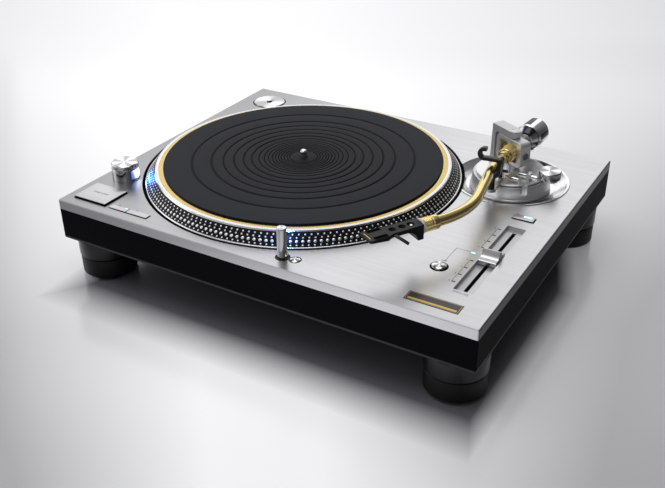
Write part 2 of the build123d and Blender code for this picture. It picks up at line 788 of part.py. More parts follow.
# Platter: cast rim with a sloping band and a bead, open below, a flat roof under the top plate ring
rim_inner = platter_radius - rim_wall
bead_high = bead_low + bead_height
slope_low_radius = platter_radius - slope_inset
platter = lathe([
    (shaft_radius + hub_bore_clear, platter_roof), (slope_top_radius - 8.0, platter_roof),
    (rim_inner, platter_low + 5.0), (rim_inner, platter_low), (platter_radius - 0.6, platter_low),
    (platter_radius - 0.6, bead_low - 0.5), (platter_radius, bead_low), (platter_radius, bead_high - 0.6),
    (platter_radius - 0.5, bead_high - 0.1), (slope_low_radius, bead_high),
    (slope_top_radius, slope_top), (lip_radius, plate_ring_top), (plate_ring_radius + 0.1, plate_ring_top),
    (plate_ring_radius + 0.1, platter_top), (shaft_radius + hub_bore_clear, platter_top),
], platter_x, platter_y)
save("platter", platter)
top_ring = tube(plate_ring_radius, plate_ring_bore, platter_top, plate_ring_top, platter_x, platter_y)
save("platter_top_ring", top_ring)

# Rubber mat with concentric grooves
groove_low = mat_top - mat_groove_deep
mat = lathe([
    (shaft_radius + mat_bore_gap, plate_ring_top), (mat_radius, plate_ring_top), (mat_radius, mat_top - 0.5),
    (mat_radius - 0.5, mat_top), (shaft_radius + mat_bore_gap, mat_top),
], platter_x, platter_y)
for groove_radius, groove_width in mat_wide_grooves + [(radius, mat_fine_width) for radius in mat_fine_grooves]:
    cut = lathe([
        (groove_radius - groove_width / 2, mat_top + 0.01), (groove_radius - groove_width / 4, groove_low),
        (groove_radius + groove_width / 4, groove_low), (groove_radius + groove_width / 2, mat_top + 0.01),
    ], platter_x, platter_y)
    mat -= cut
save("platter_mat", mat)
damper_outer = platter_radius - damper_inset
damper = tube(damper_outer, damper_outer - damper_width, platter_roof - damper_thick, platter_roof, platter_x, platter_y)
save("platter_damper", damper)

# Rotor: steel yoke plate with its hub, and the ring magnet under it
yoke_plate_low = platter_roof - yoke_plate_thick
rotor = lathe([
    (shaft_radius + hub_bore_clear, hub_low), (hub_radius, hub_low), (hub_radius, yoke_plate_low),
    (yoke_plate_radius, yoke_plate_low), (yoke_plate_radius, platter_roof),
    (shaft_radius + hub_bore_clear, platter_roof),
], platter_x, platter_y)
save("rotor_yoke", rotor)
magnet = tube(magnet_outer, magnet_inner, yoke_plate_low - magnet_thick, yoke_plate_low, platter_x, platter_y)
save("rotor_magnet", magnet)

# Spindle, and the bearing housing that it turns in
spindle_low = housing_low + thrust_thick + 0.05
spindle = lathe([
    (0, spindle_low), (shaft_radius - 0.6, spindle_low), (shaft_radius, spindle_low + 0.6),
    (shaft_radius, mat_top - 0.4), (spindle_radius, mat_top), (spindle_radius, spindle_top - 2.2),
    (spindle_radius - 0.7, spindle_top - 1.0), (spindle_radius - 2.0, spindle_top - 0.2), (0, spindle_top),
], platter_x, platter_y)
save("spindle", spindle)
flange_top = plate_low + housing_flange_thick
bearing = lathe([
    (shaft_radius + shaft_clear, flange_top), (housing_flange_radius, flange_top),
    (housing_flange_radius, plate_low), (housing_radius, plate_low), (housing_radius, housing_low),
    (0, housing_low), (0, housing_low + thrust_thick), (shaft_radius + shaft_clear, housing_low + thrust_thick),
], platter_x, platter_y)
save("bearing_housing", bearing)

# Stator: a board on the web with flat moulded coils, no iron core
stator_top = plate_low + stator_thick
stator = tube(stator_radius, housing_flange_radius + 0.2, plate_low, stator_top)
coil = tube(coil_radius, coil_hole_radius, stator_top, stator_top + coil_thick)
for placed_coil in ring_of(coil_count, coil_ring_radius, coil):
    stator += placed_coil
save("stator", Pos(platter_x, platter_y, 0) * stator)

# Polished dish round the tonearm base, cut back where the platter's well passes
dish = lathe([
    (column_radius + 2.5, plate_low), (dish_radius, plate_low), (dish_radius, dish_rise - 0.3),
    (dish_radius - 0.4, dish_rise), (dish_radius - dish_flat, dish_rise), (dish_radius - 4.5, -0.6),
    (dish_radius - 10.0, -3.8), (dish_floor_radius + 3.0, dish_floor + 0.5), (dish_floor_radius, dish_floor),
    (column_radius + 2.5, dish_floor),
], arm_x, arm_y)
dish -= disc(well_radius, plate_low - cut_over, dish_rise + cut_over, platter_x, platter_y)
save("arm_dish", dish)

# Height ring: turned by hand, it lifts the arm platform
ring_low = dish_floor + ring_foot_gap
height_ring = lathe([
    (column_radius + 0.6, ring_low), (ring_low_radius, ring_low), (ring_low_radius, ring_low + 1.8),
    (ring_low_radius - 0.7, ring_low + 2.3), (ring_top_radius + 0.5, ring_top - 1.0),
    (ring_top_radius, ring_top), (column_radius + 0.6, ring_top),
], arm_x, arm_y)
save("height_ring", height_ring)

# Height lock: a post in the dish with a short lever
lock_place = Pos(arm_x, arm_y, 0) * Rot(0, 0, lock_angle) * Pos(lock_radius, 0, 0)
lock_floor = dish_floor + 3.6
lock = disc(2.4, lock_floor, 2.6) + slab(3.4, lock_lever_length, 2.6, 4.4, y=5.0, corner=1.2)
save("height_lock", lock_place * lock)


# Arm platform: a column that slides in the web, a disc over the ring and lobes for what it carries
def polar(radius, angle):
    """Point at a radius and angle from the arm's upright axis."""
    return (radius * cos(radians(angle)), radius * sin(radians(angle)))


def tube_point(along):
    """Place and heading on the arm tube's centre line, from the upright axis."""
    x = y = 0.0
    heading = radians(tube_heading)
    stretches = [
        (tube_first, 0.0), (tube_bend_one, tube_heading_mid - tube_heading), (tube_middle, 0.0),
        (tube_bend_two, tube_heading_end - tube_heading_mid), (tube_last, 0.0),
    ]
    for size, turn in stretches:
        length = size if turn == 0.0 else size * abs(radians(turn))
        part = min(1.0, along / length)
        bend = radians(turn) * part
        if turn == 0.0:
            x += size * part * sin(heading)
            y -= size * part * cos(heading)
        else:
            centre = size if turn > 0 else -size
            x += centre * (cos(heading) - cos(heading + bend))
            y -= centre * (sin(heading + bend) - sin(heading))
        heading += bend
        along -= length * part
        if along <= 0.0:
            break
    return x, y, degrees(heading)


arm_place = Pos(arm_x, arm_y, 0)
rest_x, rest_y, rest_heading = tube_point(rest_along)
rest_angle = degrees(atan2(rest_y, rest_x))
skate_angle = degrees(atan2(skate_y, skate_x))
skate_reach = hypot(skate_x, skate_y)
platform = tube(column_radius, column_radius - column_wall, column_low, platform_top)
platform += disc(platform_radius, platform_low, platform_top)
platform += Rot(0, 0, rest_angle) * slab(hypot(rest_x, rest_y), rest_lobe_width, platform_low, platform_top + 0.8,
                                         x=hypot(rest_x, rest_y) / 2)
platform += disc(rest_lobe_radius, platform_low, platform_top + 0.8, rest_x, rest_y)
platform += Rot(0, 0, skate_angle) * slab(skate_reach, 13.0, platform_low, platform_top, x=skate_reach / 2)
platform += disc(skate_lobe_radius, platform_low, platform_top, skate_x, skate_y)
skate_hole = disc(1.5 + pivot_clear, platform_low - cut_over, platform_top + cut_over, skate_x, skate_y)
platform -= skate_hole

# The index plate bends down over the height ring's scale
index_out = ring_low_radius + 0.4
index = slab(index_out - platform_radius + 6.0, index_width, platform_top, platform_top + 0.9,
             x=(index_out + platform_radius - 6.0) / 2)
index += slab(0.9, index_width, platform_low - 6.6, platform_top + 0.9, x=index_out + 0.45)

# Bearing blocks of the cue shaft, the guide of the cue lift and the lower pivot pedestal
cue_line = Vector(cue_end_x - cue_start_x, cue_end_y - cue_start_y, 0)
cue_unit = cue_line.normalized()
cue_angle = degrees(atan2(cue_unit.Y, cue_unit.X))
cue_place = Pos(cue_start_x, cue_start_y, 0) * Rot(0, 0, cue_angle)
cue_length = cue_line.length
for block_along in (4.0, cue_length - 9.0):
    block = slab(4.0, 8.0, platform_top, cue_height + 3.6, x=block_along, corner=0.8)
    platform += cue_place * block
cue_bore = rod((-1, 0, cue_height), (cue_length + 1, 0, cue_height), cue_shaft_radius + pivot_clear)
platform -= cue_place * cue_bore
lift_x, lift_y, lift_heading = tube_point(lift_along)
platform += disc(4.0, platform_top, platform_top + 2.4, lift_x, lift_y)
lift_hole = disc(lift_rod_radius + pivot_clear, platform_low - 4.0, platform_top + 4.0, lift_x, lift_y)
platform -= lift_hole
pedestal_high = gimbal_low - 1.0
platform += lathe([(0, platform_top), (9.0, platform_top), (8.0, platform_top + 2.0), (6.5, pedestal_high),
                   (0, pedestal_high)])
save("arm_platform", arm_place * (platform + Rot(0, 0, index_angle) * index))

# Yoke: a column and a top bar that carry the gimbal between an upper and a lower pivot
yoke_place = arm_place * Rot(0, 0, -gimbal_turn)
yoke_low = platform_top
bar_low = gimbal_high + yoke_gap
bar_high = bar_low + yoke_bar
column_inner = yoke_half - yoke_column
yoke_outline = Polyline(
    (-yoke_half - 1.8, yoke_low), (-yoke_half - 1.0, yoke_low + 6.0), (-yoke_half, bar_high), (0, bar_high),
    (0, bar_low), (yoke_corner - column_inner, bar_low), (-column_inner, bar_low - yoke_corner),
    (-column_inner, pedestal_high), (-12.0, yoke_low + 3.0), (-9.2, yoke_low + 3.0), (-9.2, yoke_low), close=True)
yoke = extrude(Plane.XZ * make_face(yoke_outline), yoke_depth / 2, both=True)
yoke += disc(yoke_depth / 2, bar_low, bar_high)
yoke -= disc(pivot_screw_radius + press_clear, bar_low - cut_over, bar_high + cut_over)
save("yoke", yoke_place * yoke)
pivot_screw = disc(pivot_screw_radius, bar_low + 0.2, bar_high - 0.2)
pivot_screw += disc(pivot_radius, gimbal_high - gimbal_bar + 0.4, bar_low + 0.2)
pivot_screw -= slab(7.0, 0.9, bar_high - 1.4, bar_high + 1.0)
lower_pin = disc(pivot_radius, pedestal_high, gimbal_low + gimbal_bar - 0.4)
lower_pin += disc(3.2, pedestal_high, pedestal_high + 0.6)
save("gimbal_pivots", yoke_place * Rot(0, 0, 20) * pivot_screw, yoke_place * lower_pin)

# Gimbal ring: a rounded frame that turns with the arm and carries its level axle
gimbal_mid = (gimbal_low + gimbal_high) / 2
gimbal = Pos(0, 0, gimbal_mid) * Box(2 * gimbal_half, gimbal_depth, gimbal_high - gimbal_low)
gimbal = fillet(gimbal.edges().filter_by(Axis.Y), gimbal_corner)
gimbal = chamfer(gimbal.faces().filter_by(Axis.Y).edges(), 0.5)
gimbal_window = Pos(0, 0, gimbal_mid) * Box(
    2 * (gimbal_half - gimbal_side), gimbal_depth + 2.0, gimbal_high - gimbal_low - 2 * gimbal_bar)
gimbal -= fillet(gimbal_window.edges().filter_by(Axis.Y), 3.0)
gimbal -= disc(pivot_radius + pivot_clear, gimbal_low - cut_over, gimbal_high + cut_over)
bush_side = gimbal_half - gimbal_side
for side in (-1, 1):
    gimbal -= rod((side * (bush_side - 1), 0, arm_height), (side * (gimbal_half + 1), 0, arm_height),
                  bush_radius + press_clear)
save("gimbal_ring", yoke_place * gimbal)
bushes = []
for side in (-1, 1):
    bush = rod((side * bush_side, 0, arm_height), (side * (gimbal_half + 0.3), 0, arm_height), bush_radius)
    bush -= rod((side * (bush_side - 1), 0, arm_height), (side * (gimbal_half - 1.8), 0, arm_height),
                axle_pin_radius + pivot_clear)
    bush -= Pos(side * (gimbal_half + 0.3), 0, arm_height) * Rot(35, 0, 0) * Box(1.4, 0.9, 8.0)
    bushes.append(yoke_place * bush)
save("bearing_screws", *bushes)

# Arm housing: the gold body in the gimbal, its level axle, and the rear stub for the weight
front_unit = (sin(radians(tube_heading)), -cos(radians(tube_heading)))


def on_arm(along, height=arm_height):
    """Point on the arm's own axis, ahead of the upright axis."""
    return (front_unit[0] * along, front_unit[1] * along, height)


arm_housing = rod(on_arm(housing_front), on_arm(-housing_back), arm_housing_radius)
arm_housing = chamfer(arm_housing.edges().filter_by(GeomType.CIRCLE), 0.7)
arm_housing += rod(on_arm(sleeve_front), on_arm(housing_front), sleeve_front_radius)
arm_housing -= rod(on_arm(sleeve_front + 1.0), on_arm(tube_start - 1.0), tube_radius + press_clear)
axle_line = Rot(0, 0, -gimbal_turn)
axle = rod((-bush_side + 0.8, 0, arm_height), (bush_side - 0.8, 0, arm_height), axle_radius)
axle += rod((-gimbal_half + 2.4, 0, arm_height), (gimbal_half - 2.4, 0, arm_height), axle_pin_radius)
arm_housing += axle_line * axle
arm_housing -= rod(on_arm(-housing_back - 1.0), on_arm(-housing_back + 4.0), stub_radius + press_clear)
save("arm_housing", arm_place * arm_housing)
stub = rod(on_arm(-housing_back + 4.0), on_arm(-stub_end), stub_radius)
stub = chamfer(stub.edges().filter_by(GeomType.CIRCLE), 0.5)
save("weight_stub", arm_place * stub)

# Counterweight on a sleeve that slides along the stub as the weight is turned, with a force dial in front
sleeve = rod(on_arm(-weight_sleeve_start), on_arm(-weight_sleeve_end), weight_sleeve_radius)
sleeve -= rod(on_arm(-weight_sleeve_start + 1.0), on_arm(-weight_sleeve_end - 1.0), stub_radius + weight_clear)
save("weight_sleeve", arm_place * sleeve)
weight = rod(on_arm(-weight_start), on_arm(-weight_end), weight_radius)
weight = chamfer(weight.edges().filter_by(GeomType.CIRCLE), weight_bevel)
weight -= rod(on_arm(-weight_start + 1.0), on_arm(-weight_end - 1.0), weight_sleeve_radius + weight_clear)
save("counterweight", arm_place * weight)
dial_length = weight_start - dial_gap - dial_start
dial_place = Plane(origin=on_arm(-dial_start - dial_length / 2), z_dir=(-front_unit[0], -front_unit[1], 0))
force_dial = dial_place * Cone(dial_front_radius, dial_radius, dial_length)
force_dial = chamfer(force_dial.edges().filter_by(GeomType.CIRCLE), 0.4)
force_dial -= rod(on_arm(-dial_start + 1.0), on_arm(-weight_start - 1.0), weight_sleeve_radius + weight_clear)
save("force_dial", arm_place * force_dial)

# Gold S tube, a hollow pipe swept along three straights and two arcs
heading_in = radians(tube_heading)
start_x_, start_y_, _ = tube_point(tube_start)
first_end = tube_point(tube_first)
line_one = Line((start_x_, start_y_, arm_height), (first_end[0], first_end[1], arm_height))
arc_one = JernArc(line_one @ 1, line_one % 1, tube_bend_one, tube_heading_mid - tube_heading)
line_two = Line(arc_one @ 1, (arc_one @ 1) + (arc_one % 1) * tube_middle)
arc_two = JernArc(line_two @ 1, line_two % 1, tube_bend_two, tube_heading_end - tube_heading_mid)
line_three = Line(arc_two @ 1, (arc_two @ 1) + (arc_two % 1) * tube_last)
tube_path = line_one + arc_one + line_two + arc_two + line_three
tube_plane = Plane(origin=line_one @ 0, z_dir=line_one % 0)
arm_tube = sweep(tube_plane * (Circle(tube_radius) - Circle(tube_bore)), path=tube_path)
save("arm_tube", arm_place * arm_tube)

# Locking collar round the tube's end
end_point = line_three @ 1
end_line = line_three % 1
shell_heading = degrees(atan2(end_line.Y, end_line.X))
shell_place = arm_place * Pos(end_point.X, end_point.Y, 0) * Rot(0, 0, shell_heading)
collar_profile = [(-collar_length, tube_radius + collar_clear), (-collar_length, collar_radius - 1.2),
                  (-collar_length + 1.2, collar_radius - 0.2)]
collar_profile += [(-10.5, collar_radius - 0.2), (-10.0, collar_radius - 0.8), (-9.0, collar_radius - 0.8),
                   (-8.5, collar_radius), (-1.0, collar_radius), (-0.3, collar_radius - 0.7),
                   (-0.3, tube_radius + collar_clear)]
collar_face = make_face(Polyline(*[(along, 0, arm_height + radius) for along, radius in collar_profile], close=True))
collar = revolve(collar_face, Axis((0, 0, arm_height), (1, 0, 0)))
save("locking_collar", shell_place * collar)

# Headshell: a side outline cut to the plan outline, with slots, lightening holes and a scooped underside
neck_low = shell_top - shell_neck_thick
shell_side = Polyline(
    (shell_plate_start - 1.5, neck_low), (shell_plate_start, shell_top - shell_plate_thick),
    (shell_tip, shell_top - shell_tip_thick), (shell_tip, shell_top), (shell_start, shell_top),
    (shell_start, shell_rear_low), (shell_rear_end, shell_rear_low))
shell_side += ThreePointArc((shell_rear_end, shell_rear_low), (11.5, neck_low - 3.6), (19.0, neck_low - 0.4))
shell_side += Line((19.0, neck_low - 0.4), (shell_plate_start - 1.5, neck_low))
headshell = extrude(Plane.XZ * make_face(shell_side), shell_plate_half, both=True)
shell_plan = make_face(Polyline(
    (shell_start, -shell_neck_half), (shell_plate_start - 6.0, -shell_neck_half),
    (shell_plate_start, -shell_plate_half), (shell_tip - 1.2, -shell_plate_half), (shell_tip, -shell_plate_half + 1.2),
    (shell_tip, shell_plate_half - 1.2), (shell_tip - 1.2, shell_plate_half), (shell_plate_start, shell_plate_half),
    (shell_plate_start - 6.0, shell_neck_half), (shell_start, shell_neck_half), close=True))
headshell &= Pos(0, 0, shell_rear_low - 1.0) * extrude(shell_plan, shell_top - shell_rear_low + 2.0)
for side in (-1, 1):
    slot = SlotOverall(shell_slot_length, shell_slot_width)
    slot_solid = Pos(shell_slot_along, side * shell_slot_spread / 2, neck_low - 4.0) * extrude(slot, 12.0)
    headshell -= slot_solid
for hole_along in shell_holes[:2]:
    headshell -= disc(shell_hole_radius, shell_rear_low - 1.0, shell_top + 1.0, hole_along)
headshell -= disc(shell_hole_radius, neck_low - 2.4, shell_top + 1.0, shell_holes[2])
headshell += rod((-plug_length, 0, arm_height), (shell_start + 1.0, 0, arm_height), plug_radius)

# Finger lift, curving outwards from the headshell's side
finger_root = 32.0
finger_bend = (31.2, 14.5)
finger_tip = (27.0, 21.5)
finger_width = 3.4
finger_thick = 1.5
lift_arc = ThreePointArc((finger_root, shell_neck_half - 0.8, shell_top - 2.0), (*finger_bend, shell_top - 1.6),
                         (*finger_tip, shell_top - 4.6))
lift_plane = Plane(origin=lift_arc @ 0, x_dir=(1, 0, 0), z_dir=lift_arc % 0)
finger_lift = sweep(lift_plane * RectangleRounded(finger_width, finger_thick, 0.6), path=lift_arc)
save("headshell", shell_place * (headshell + finger_lift))

# Arm rest: a post with a cradle open at the top left, and a clamp hinged on its right
rest_place = arm_place * Pos(rest_x, rest_y, 0) * Rot(0, 0, rest_heading)
rest_outer = rest_inner_radius + rest_wall


def across(outline, length):
    """Extrude an outline seen along the tube, at the tube's height."""
    return Pos(0, 0, arm_height) * extrude(Plane.XZ * outline, length / 2, both=True)


cradle = Circle(rest_outer) - Circle(rest_inner_radius)
cradle -= Pos(0, rest_outer + 0.8) * Rectangle(4 * rest_outer, 2 * rest_outer)
cradle -= Pos(-rest_outer - 2.0, rest_outer - tube_radius - rest_lip_gap) * Rectangle(2 * rest_outer, 2 * rest_outer)
wall_x = rest_inner_radius + rest_wall / 2
clamp_low = tube_radius + clamp_gap
pin_z = clamp_low + clamp_thick / 2
cradle += Pos(wall_x, pin_z / 2) * Rectangle(rest_wall, pin_z)
cradle += Pos(wall_x, pin_z) * Circle(rest_wall / 2 + 0.5)
cradle += Pos(0, -rest_outer - 1.0) * Rectangle(5.0, 6.0)
rest_body = across(cradle, rest_length)
rest_post_low = platform_top + 0.8
rest_body += disc(rest_post_radius, rest_post_low, arm_height - rest_outer)
rest_body -= Pos(wall_x, 0, arm_height + pin_z) * Box(6.0, rest_length - 3.0, 6.2)
clamp_bore = rod((wall_x, -rest_length, arm_height + pin_z), (wall_x, rest_length, arm_height + pin_z),
                 clamp_pin_radius + pivot_clear)
rest_body -= clamp_bore
save("arm_rest", rest_place * rest_body)
band = Pos((wall_x + clamp_tab_x) / 2, pin_z) * Rectangle(wall_x - clamp_tab_x, clamp_thick)
band += Pos(wall_x, pin_z) * Circle(clamp_thick / 2 + 0.5)
tab_z = pin_z + clamp_tab_rise
tab = Circle(clamp_tab_radius) - Circle(clamp_tab_radius - clamp_tab_thick)
tab -= Pos(10.0, 0) * Rectangle(20.0, 30.0)
tab += Pos(1.0, clamp_tab_radius - clamp_tab_thick / 2) * Rectangle(2.0, clamp_tab_thick)
tab = Pos(clamp_tab_x, tab_z) * tab
clamp_width = rest_length - 3.4
clamp = across(band, clamp_width) + across(tab, clamp_width)
clamp_pin = rod((wall_x, -rest_length / 2, arm_height + pin_z), (wall_x, rest_length / 2, arm_height + pin_z),
                clamp_pin_radius)
save("rest_clamp", rest_place * (clamp + clamp_pin))

# Anti-skate dial on its lobe
skate_low = platform_top + 0.4
skate_dial = lathe([
    (0, platform_low), (1.5, platform_low), (1.5, skate_low), (skate_radius, skate_low),
    (skate_radius, skate_low + skate_height - 0.8), (skate_radius - 0.8, skate_low + skate_height),
    (0, skate_low + skate_height - 0.2),
], skate_x, skate_y)
save("anti_skate_dial", arm_place * skate_dial)

# Cue lever: a shaft in two bearing blocks with a parallel handle on a crank
cue_lever = rod((0, 0, cue_height), (cue_length, 0, cue_height), cue_shaft_radius)
cue_lever = chamfer(cue_lever.edges().filter_by(GeomType.CIRCLE), 0.4)
cue_lever += rod((1.0, 0, cue_height), (1.0, -cue_handle_reach, cue_height), 0.9)
cue_lever += rod((0, -cue_handle_reach, cue_height), (cue_handle_length, -cue_handle_reach, cue_height),
                 cue_handle_radius)
save("cue_lever", arm_place * cue_place * cue_lever)
lift_high = arm_height - tube_radius - lift_gap - lift_travel
cue_lift = disc(lift_rod_radius, platform_low - 3.0, lift_high - 1.2, lift_x, lift_y)
cue_lift += Pos(lift_x, lift_y, 0) * Rot(0, 0, lift_heading) * slab(15.0, 3.6, lift_high - 1.6, lift_high, corner=1.2)
save("cue_lift", arm_place * cue_lift)
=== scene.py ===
import bmesh
import bpy
import numpy as np
from mathutils import Matrix, Vector


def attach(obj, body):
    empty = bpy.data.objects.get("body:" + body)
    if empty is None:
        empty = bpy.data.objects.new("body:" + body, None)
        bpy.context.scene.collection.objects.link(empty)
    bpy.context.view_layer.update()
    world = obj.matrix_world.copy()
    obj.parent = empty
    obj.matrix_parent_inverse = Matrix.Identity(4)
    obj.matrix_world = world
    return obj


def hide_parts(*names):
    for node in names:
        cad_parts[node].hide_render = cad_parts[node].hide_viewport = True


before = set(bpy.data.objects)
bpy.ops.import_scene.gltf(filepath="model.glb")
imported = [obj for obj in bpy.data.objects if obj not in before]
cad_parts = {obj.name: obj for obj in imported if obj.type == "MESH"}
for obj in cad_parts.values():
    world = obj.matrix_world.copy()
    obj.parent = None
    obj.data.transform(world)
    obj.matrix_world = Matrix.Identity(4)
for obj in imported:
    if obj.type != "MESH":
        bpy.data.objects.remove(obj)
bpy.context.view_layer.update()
deck_body = "deck"

# Camera
# It stands in front of the deck's right corner and looks down on it, where the photograph's
# perspective puts it. Millimetres are counted from the middle of the top plate's upper face.
deck_to_floor = np.array([0.0, -5.5, 86.1])


def metres(points):
    """Millimetres from the top plate's middle made metres from the floor: (p + deck_to_floor) / 1000."""
    return (np.asarray(points, float) + deck_to_floor) / 1000.0


azimuth, elevation, roll = np.radians([31.156, 30.097, -0.777])
back = np.array([np.sin(azimuth) * np.cos(elevation), -np.cos(azimuth) * np.cos(elevation),
    np.sin(elevation)])
right = np.array([np.cos(azimuth), np.sin(azimuth), 0.0])
up = np.cross(back, right)
camera_data = bpy.data.cameras.new("camera")
camera_data.sensor_width = 36.0
camera_data.lens = 49.01
camera = bpy.data.objects.new("camera", camera_data)
bpy.context.scene.collection.objects.link(camera)
camera_matrix = np.eye(4)
camera_matrix[:3, 0] = np.cos(roll) * right + np.sin(roll) * up
camera_matrix[:3, 1] = np.cos(roll) * up - np.sin(roll) * right
camera_matrix[:3, 2] = back
camera_matrix[:3, 3] = metres([426.88, -730.79, 412.91])
camera.matrix_world = Matrix(camera_matrix.tolist())
bpy.context.scene.camera = camera
bpy.context.scene.view_settings.view_transform = "Standard"


# Studio
# A pale glossy floor that runs far back, with a painted patch of light and painted shadow and
# reflection of the deck round it, large soft lights behind, above and on the left, and a dim right
# side, which gives the dark streaks on the bright metal.
class Value:
    """A number in a shader. Python's operators add Math nodes, with the number on either side."""

    def __init__(self, shading, socket):
        self.shading = shading
        self.socket = socket

    def __add__(self, other):
        return self.shading.maths("ADD", self, other)

    def __sub__(self, other):
        return self.shading.maths("SUBTRACT", self, other)

    def __rsub__(self, other):
        return self.shading.maths("SUBTRACT", other, self)

    def __mul__(self, other):
        return self.shading.maths("MULTIPLY", self, other)

    def __truediv__(self, other):
        return self.shading.maths("DIVIDE", self, other)

    def __pow__(self, other):
        return self.shading.maths("POWER", self, other)

    def __gt__(self, other):
        return self.shading.maths("GREATER_THAN", self, other)

    def __lt__(self, other):
        return self.shading.maths("LESS_THAN", self, other)

    __radd__ = __add__
    __rmul__ = __mul__


class Shading:
    """The node tree of a material or of the world."""

    def __init__(self, owner):
        owner.use_nodes = True
        self.tree = owner.node_tree
        self.tree.nodes.clear()

    def add(self, kind, settings=(), inputs=()):
        """One node: its settings first, then a value or a link for each input, by name or number."""
        node = self.tree.nodes.new(kind)
        for name, value in dict(settings).items():
            if name == "stops":
                stops = node.color_ramp.elements
                for _ in value[2:]:
                    stops.new(0.5)
                for stop, (position, colour) in zip(stops, value):
                    stop.position = position
                    stop.color = (*colour, 1.0)
            else:
                setattr(node, name, value)
        for name, value in dict(inputs).items():
            value = getattr(value, "socket", value)
            if isinstance(value, bpy.types.NodeSocket):
                self.tree.links.new(value, node.inputs[name])
            else:
                node.inputs[name].default_value = value
        return node

    def maths(self, operation, *values):
        """A Math node of one, two or three values."""
        return Value(self, self.add("ShaderNodeMath", {"operation": operation}, enumerate(values)).outputs[0])

    def vector(self, scale=(1.0, 1.0, 1.0), centre=None, turn=0.0):
        """Object coordinates in millimetres from a centre, turned about z and then scaled."""
        origin = np.zeros(3) if centre is None else metres(centre) * 1000.0
        coordinates = self.add("ShaderNodeTexCoord").outputs["Object"]
        centred = self.add("ShaderNodeMapping", {}, {
            "Vector": coordinates, "Location": tuple(-origin), "Scale": (1000.0,) * 3}).outputs[0]
        return self.add("ShaderNodeMapping", {"vector_type": "TEXTURE"},
            {"Vector": centred, "Rotation": (0.0, 0.0, turn),
            "Scale": tuple(1.0 / np.array(scale))}).outputs[0]

    def place(self, centre=None, turn=0.0):
        """The three Object coordinates as values, in millimetres from a centre."""
        parts = self.add("ShaderNodeSeparateXYZ", {}, {0: self.vector(centre=centre, turn=turn)})
        return [Value(self, socket) for socket in parts.outputs]

    def noise(self, scale, detail=2.0, centre=None, turn=0.0):
        """Smooth noise from 0 to 1, with this many waves a millimetre, one number or one for each axis."""
        scale = (scale,) * 3 if isinstance(scale, float) else scale
        node = self.add("ShaderNodeTexNoise", {}, {
            "Vector": self.vector(scale, centre, turn), "Scale": 1.0, "Detail": detail})
        return Value(self, node.outputs["Factor" if "Factor" in node.outputs else "Fac"])

    def mix(self, factor, first, second):
        """A colour between two, each a colour or a link."""
        four = [(*c, 1.0) if isinstance(c, tuple) and len(c) == 3 else c for c in (first, second)]
        return self.add("ShaderNodeMix", {"data_type": "RGBA"},
            {0: factor, 6: four[0], 7: four[1]}).outputs[2]

    def ramp(self, value, low, high):
        """A value taken from low..high to 0..1 and held there."""
        node = self.add("ShaderNodeMapRange", {}, {0: value, 1: low, 2: high})
        return Value(self, node.outputs[0])

    def painted_glint_sectors(self, x, y, count, phase, low, high):
        """Painted highlight wedges round an axis: sin(count * a + phase) with a = atan2(y, x), low..high made
        0..1.
        """
        angle = self.maths("ARCTAN2", y, x)
        return self.ramp(self.maths("SINE", angle * count + phase), low, high)


class Finish(Shading):
    """A material with one Principled shader, whose constant sockets are given by name."""

    def __init__(self, name, colour=(0.8, 0.8, 0.8), **constants):
        self.material = bpy.data.materials.new(name)
        super().__init__(self.material)
        inputs = {key.replace("_", " ").title().replace("Ior", "IOR"): value for key,
            value in constants.items()}
        self.shader = self.add("ShaderNodeBsdfPrincipled", {}, {"Base Color": (*colour, 1.0), **inputs})
        self.add("ShaderNodeOutputMaterial", {}, {0: self.shader.outputs[0]})

    def set(self, **links):
        """Links for the shader's sockets that vary over the surface."""
        for name, value in links.items():
            socket = self.shader.inputs[name.replace("_", " ").title()]
            self.tree.links.new(getattr(value, "socket", value), socket)
        return self

    def bump(self, height, distance):
        """Relief of this many millimetres for each unit of height."""
        node = self.add("ShaderNodeBump", {}, {"Distance": distance / 1000.0, "Height": height})
        return self.set(normal=node.outputs[0])


floor_finish = Finish("floor_finish", roughness=0.18, specular_ior_level=0.8, emission_strength=1.0)
floor_x, floor_y, _ = floor_finish.place()
# Painted light: the floor glows in a broad patch, brighter far back and fading to the sides.
deep = floor_y * np.cos(azimuth) - floor_x * np.sin(azimuth) + 851.0
sideways = (floor_x * np.cos(azimuth) + floor_y * np.sin(azimuth) + 15.6) / deep
far = floor_finish.ramp(deep, 700.0, 1600.0)
fade = floor_finish.maths("MAXIMUM", 0.0, sideways * -1.7 - 0.32)
fade += floor_finish.maths("MAXIMUM", 0.0, sideways * 1.2 + 0.02)
painted_light_pool = floor_finish.maths("MAXIMUM", 0.0, 0.5 + far * 0.06 - (1.0 - far * 0.6) * fade)
# Painted shadow and reflection of the deck: close round the deck the floor is painted dark and does not glow.
in_front = floor_finish.ramp(floor_y * -1.0, 190.0, 240.0)
past_right = floor_x + floor_finish.maths("MAXIMUM", 0.0, floor_y - 30.0) * 0.35
beside = floor_finish.maths(
    "MAXIMUM", floor_finish.ramp(past_right, 226.0, 246.0), floor_finish.ramp(floor_x * -1.0, 190.0, 225.0))
behind = floor_finish.ramp(floor_y, 150.0, 240.0)
outside_painted_shade = floor_finish.maths("MAXIMUM", in_front, floor_finish.maths("MAXIMUM", beside, behind))
floor_finish.set(
    base_color=floor_finish.mix(outside_painted_shade, (0.16, 0.16, 0.18), (0.58, 0.58, 0.6)),
    emission_color=floor_finish.mix(painted_light_pool * outside_painted_shade, (0.0, 0.0, 0.0), (0.985, 0.985, 1.0)))
reach = 8.0
floor_mesh = bpy.data.meshes.new("floor")
floor_corners = [(-reach, -reach, 0), (reach, -reach, 0), (reach, reach, 0), (-reach, reach, 0)]
floor_mesh.from_pydata(floor_corners, [], [(0, 1, 2, 3)])
floor_mesh.materials.append(floor_finish.material)
floor = bpy.data.objects.new("floor", floor_mesh)
bpy.context.scene.collection.objects.link(floor)

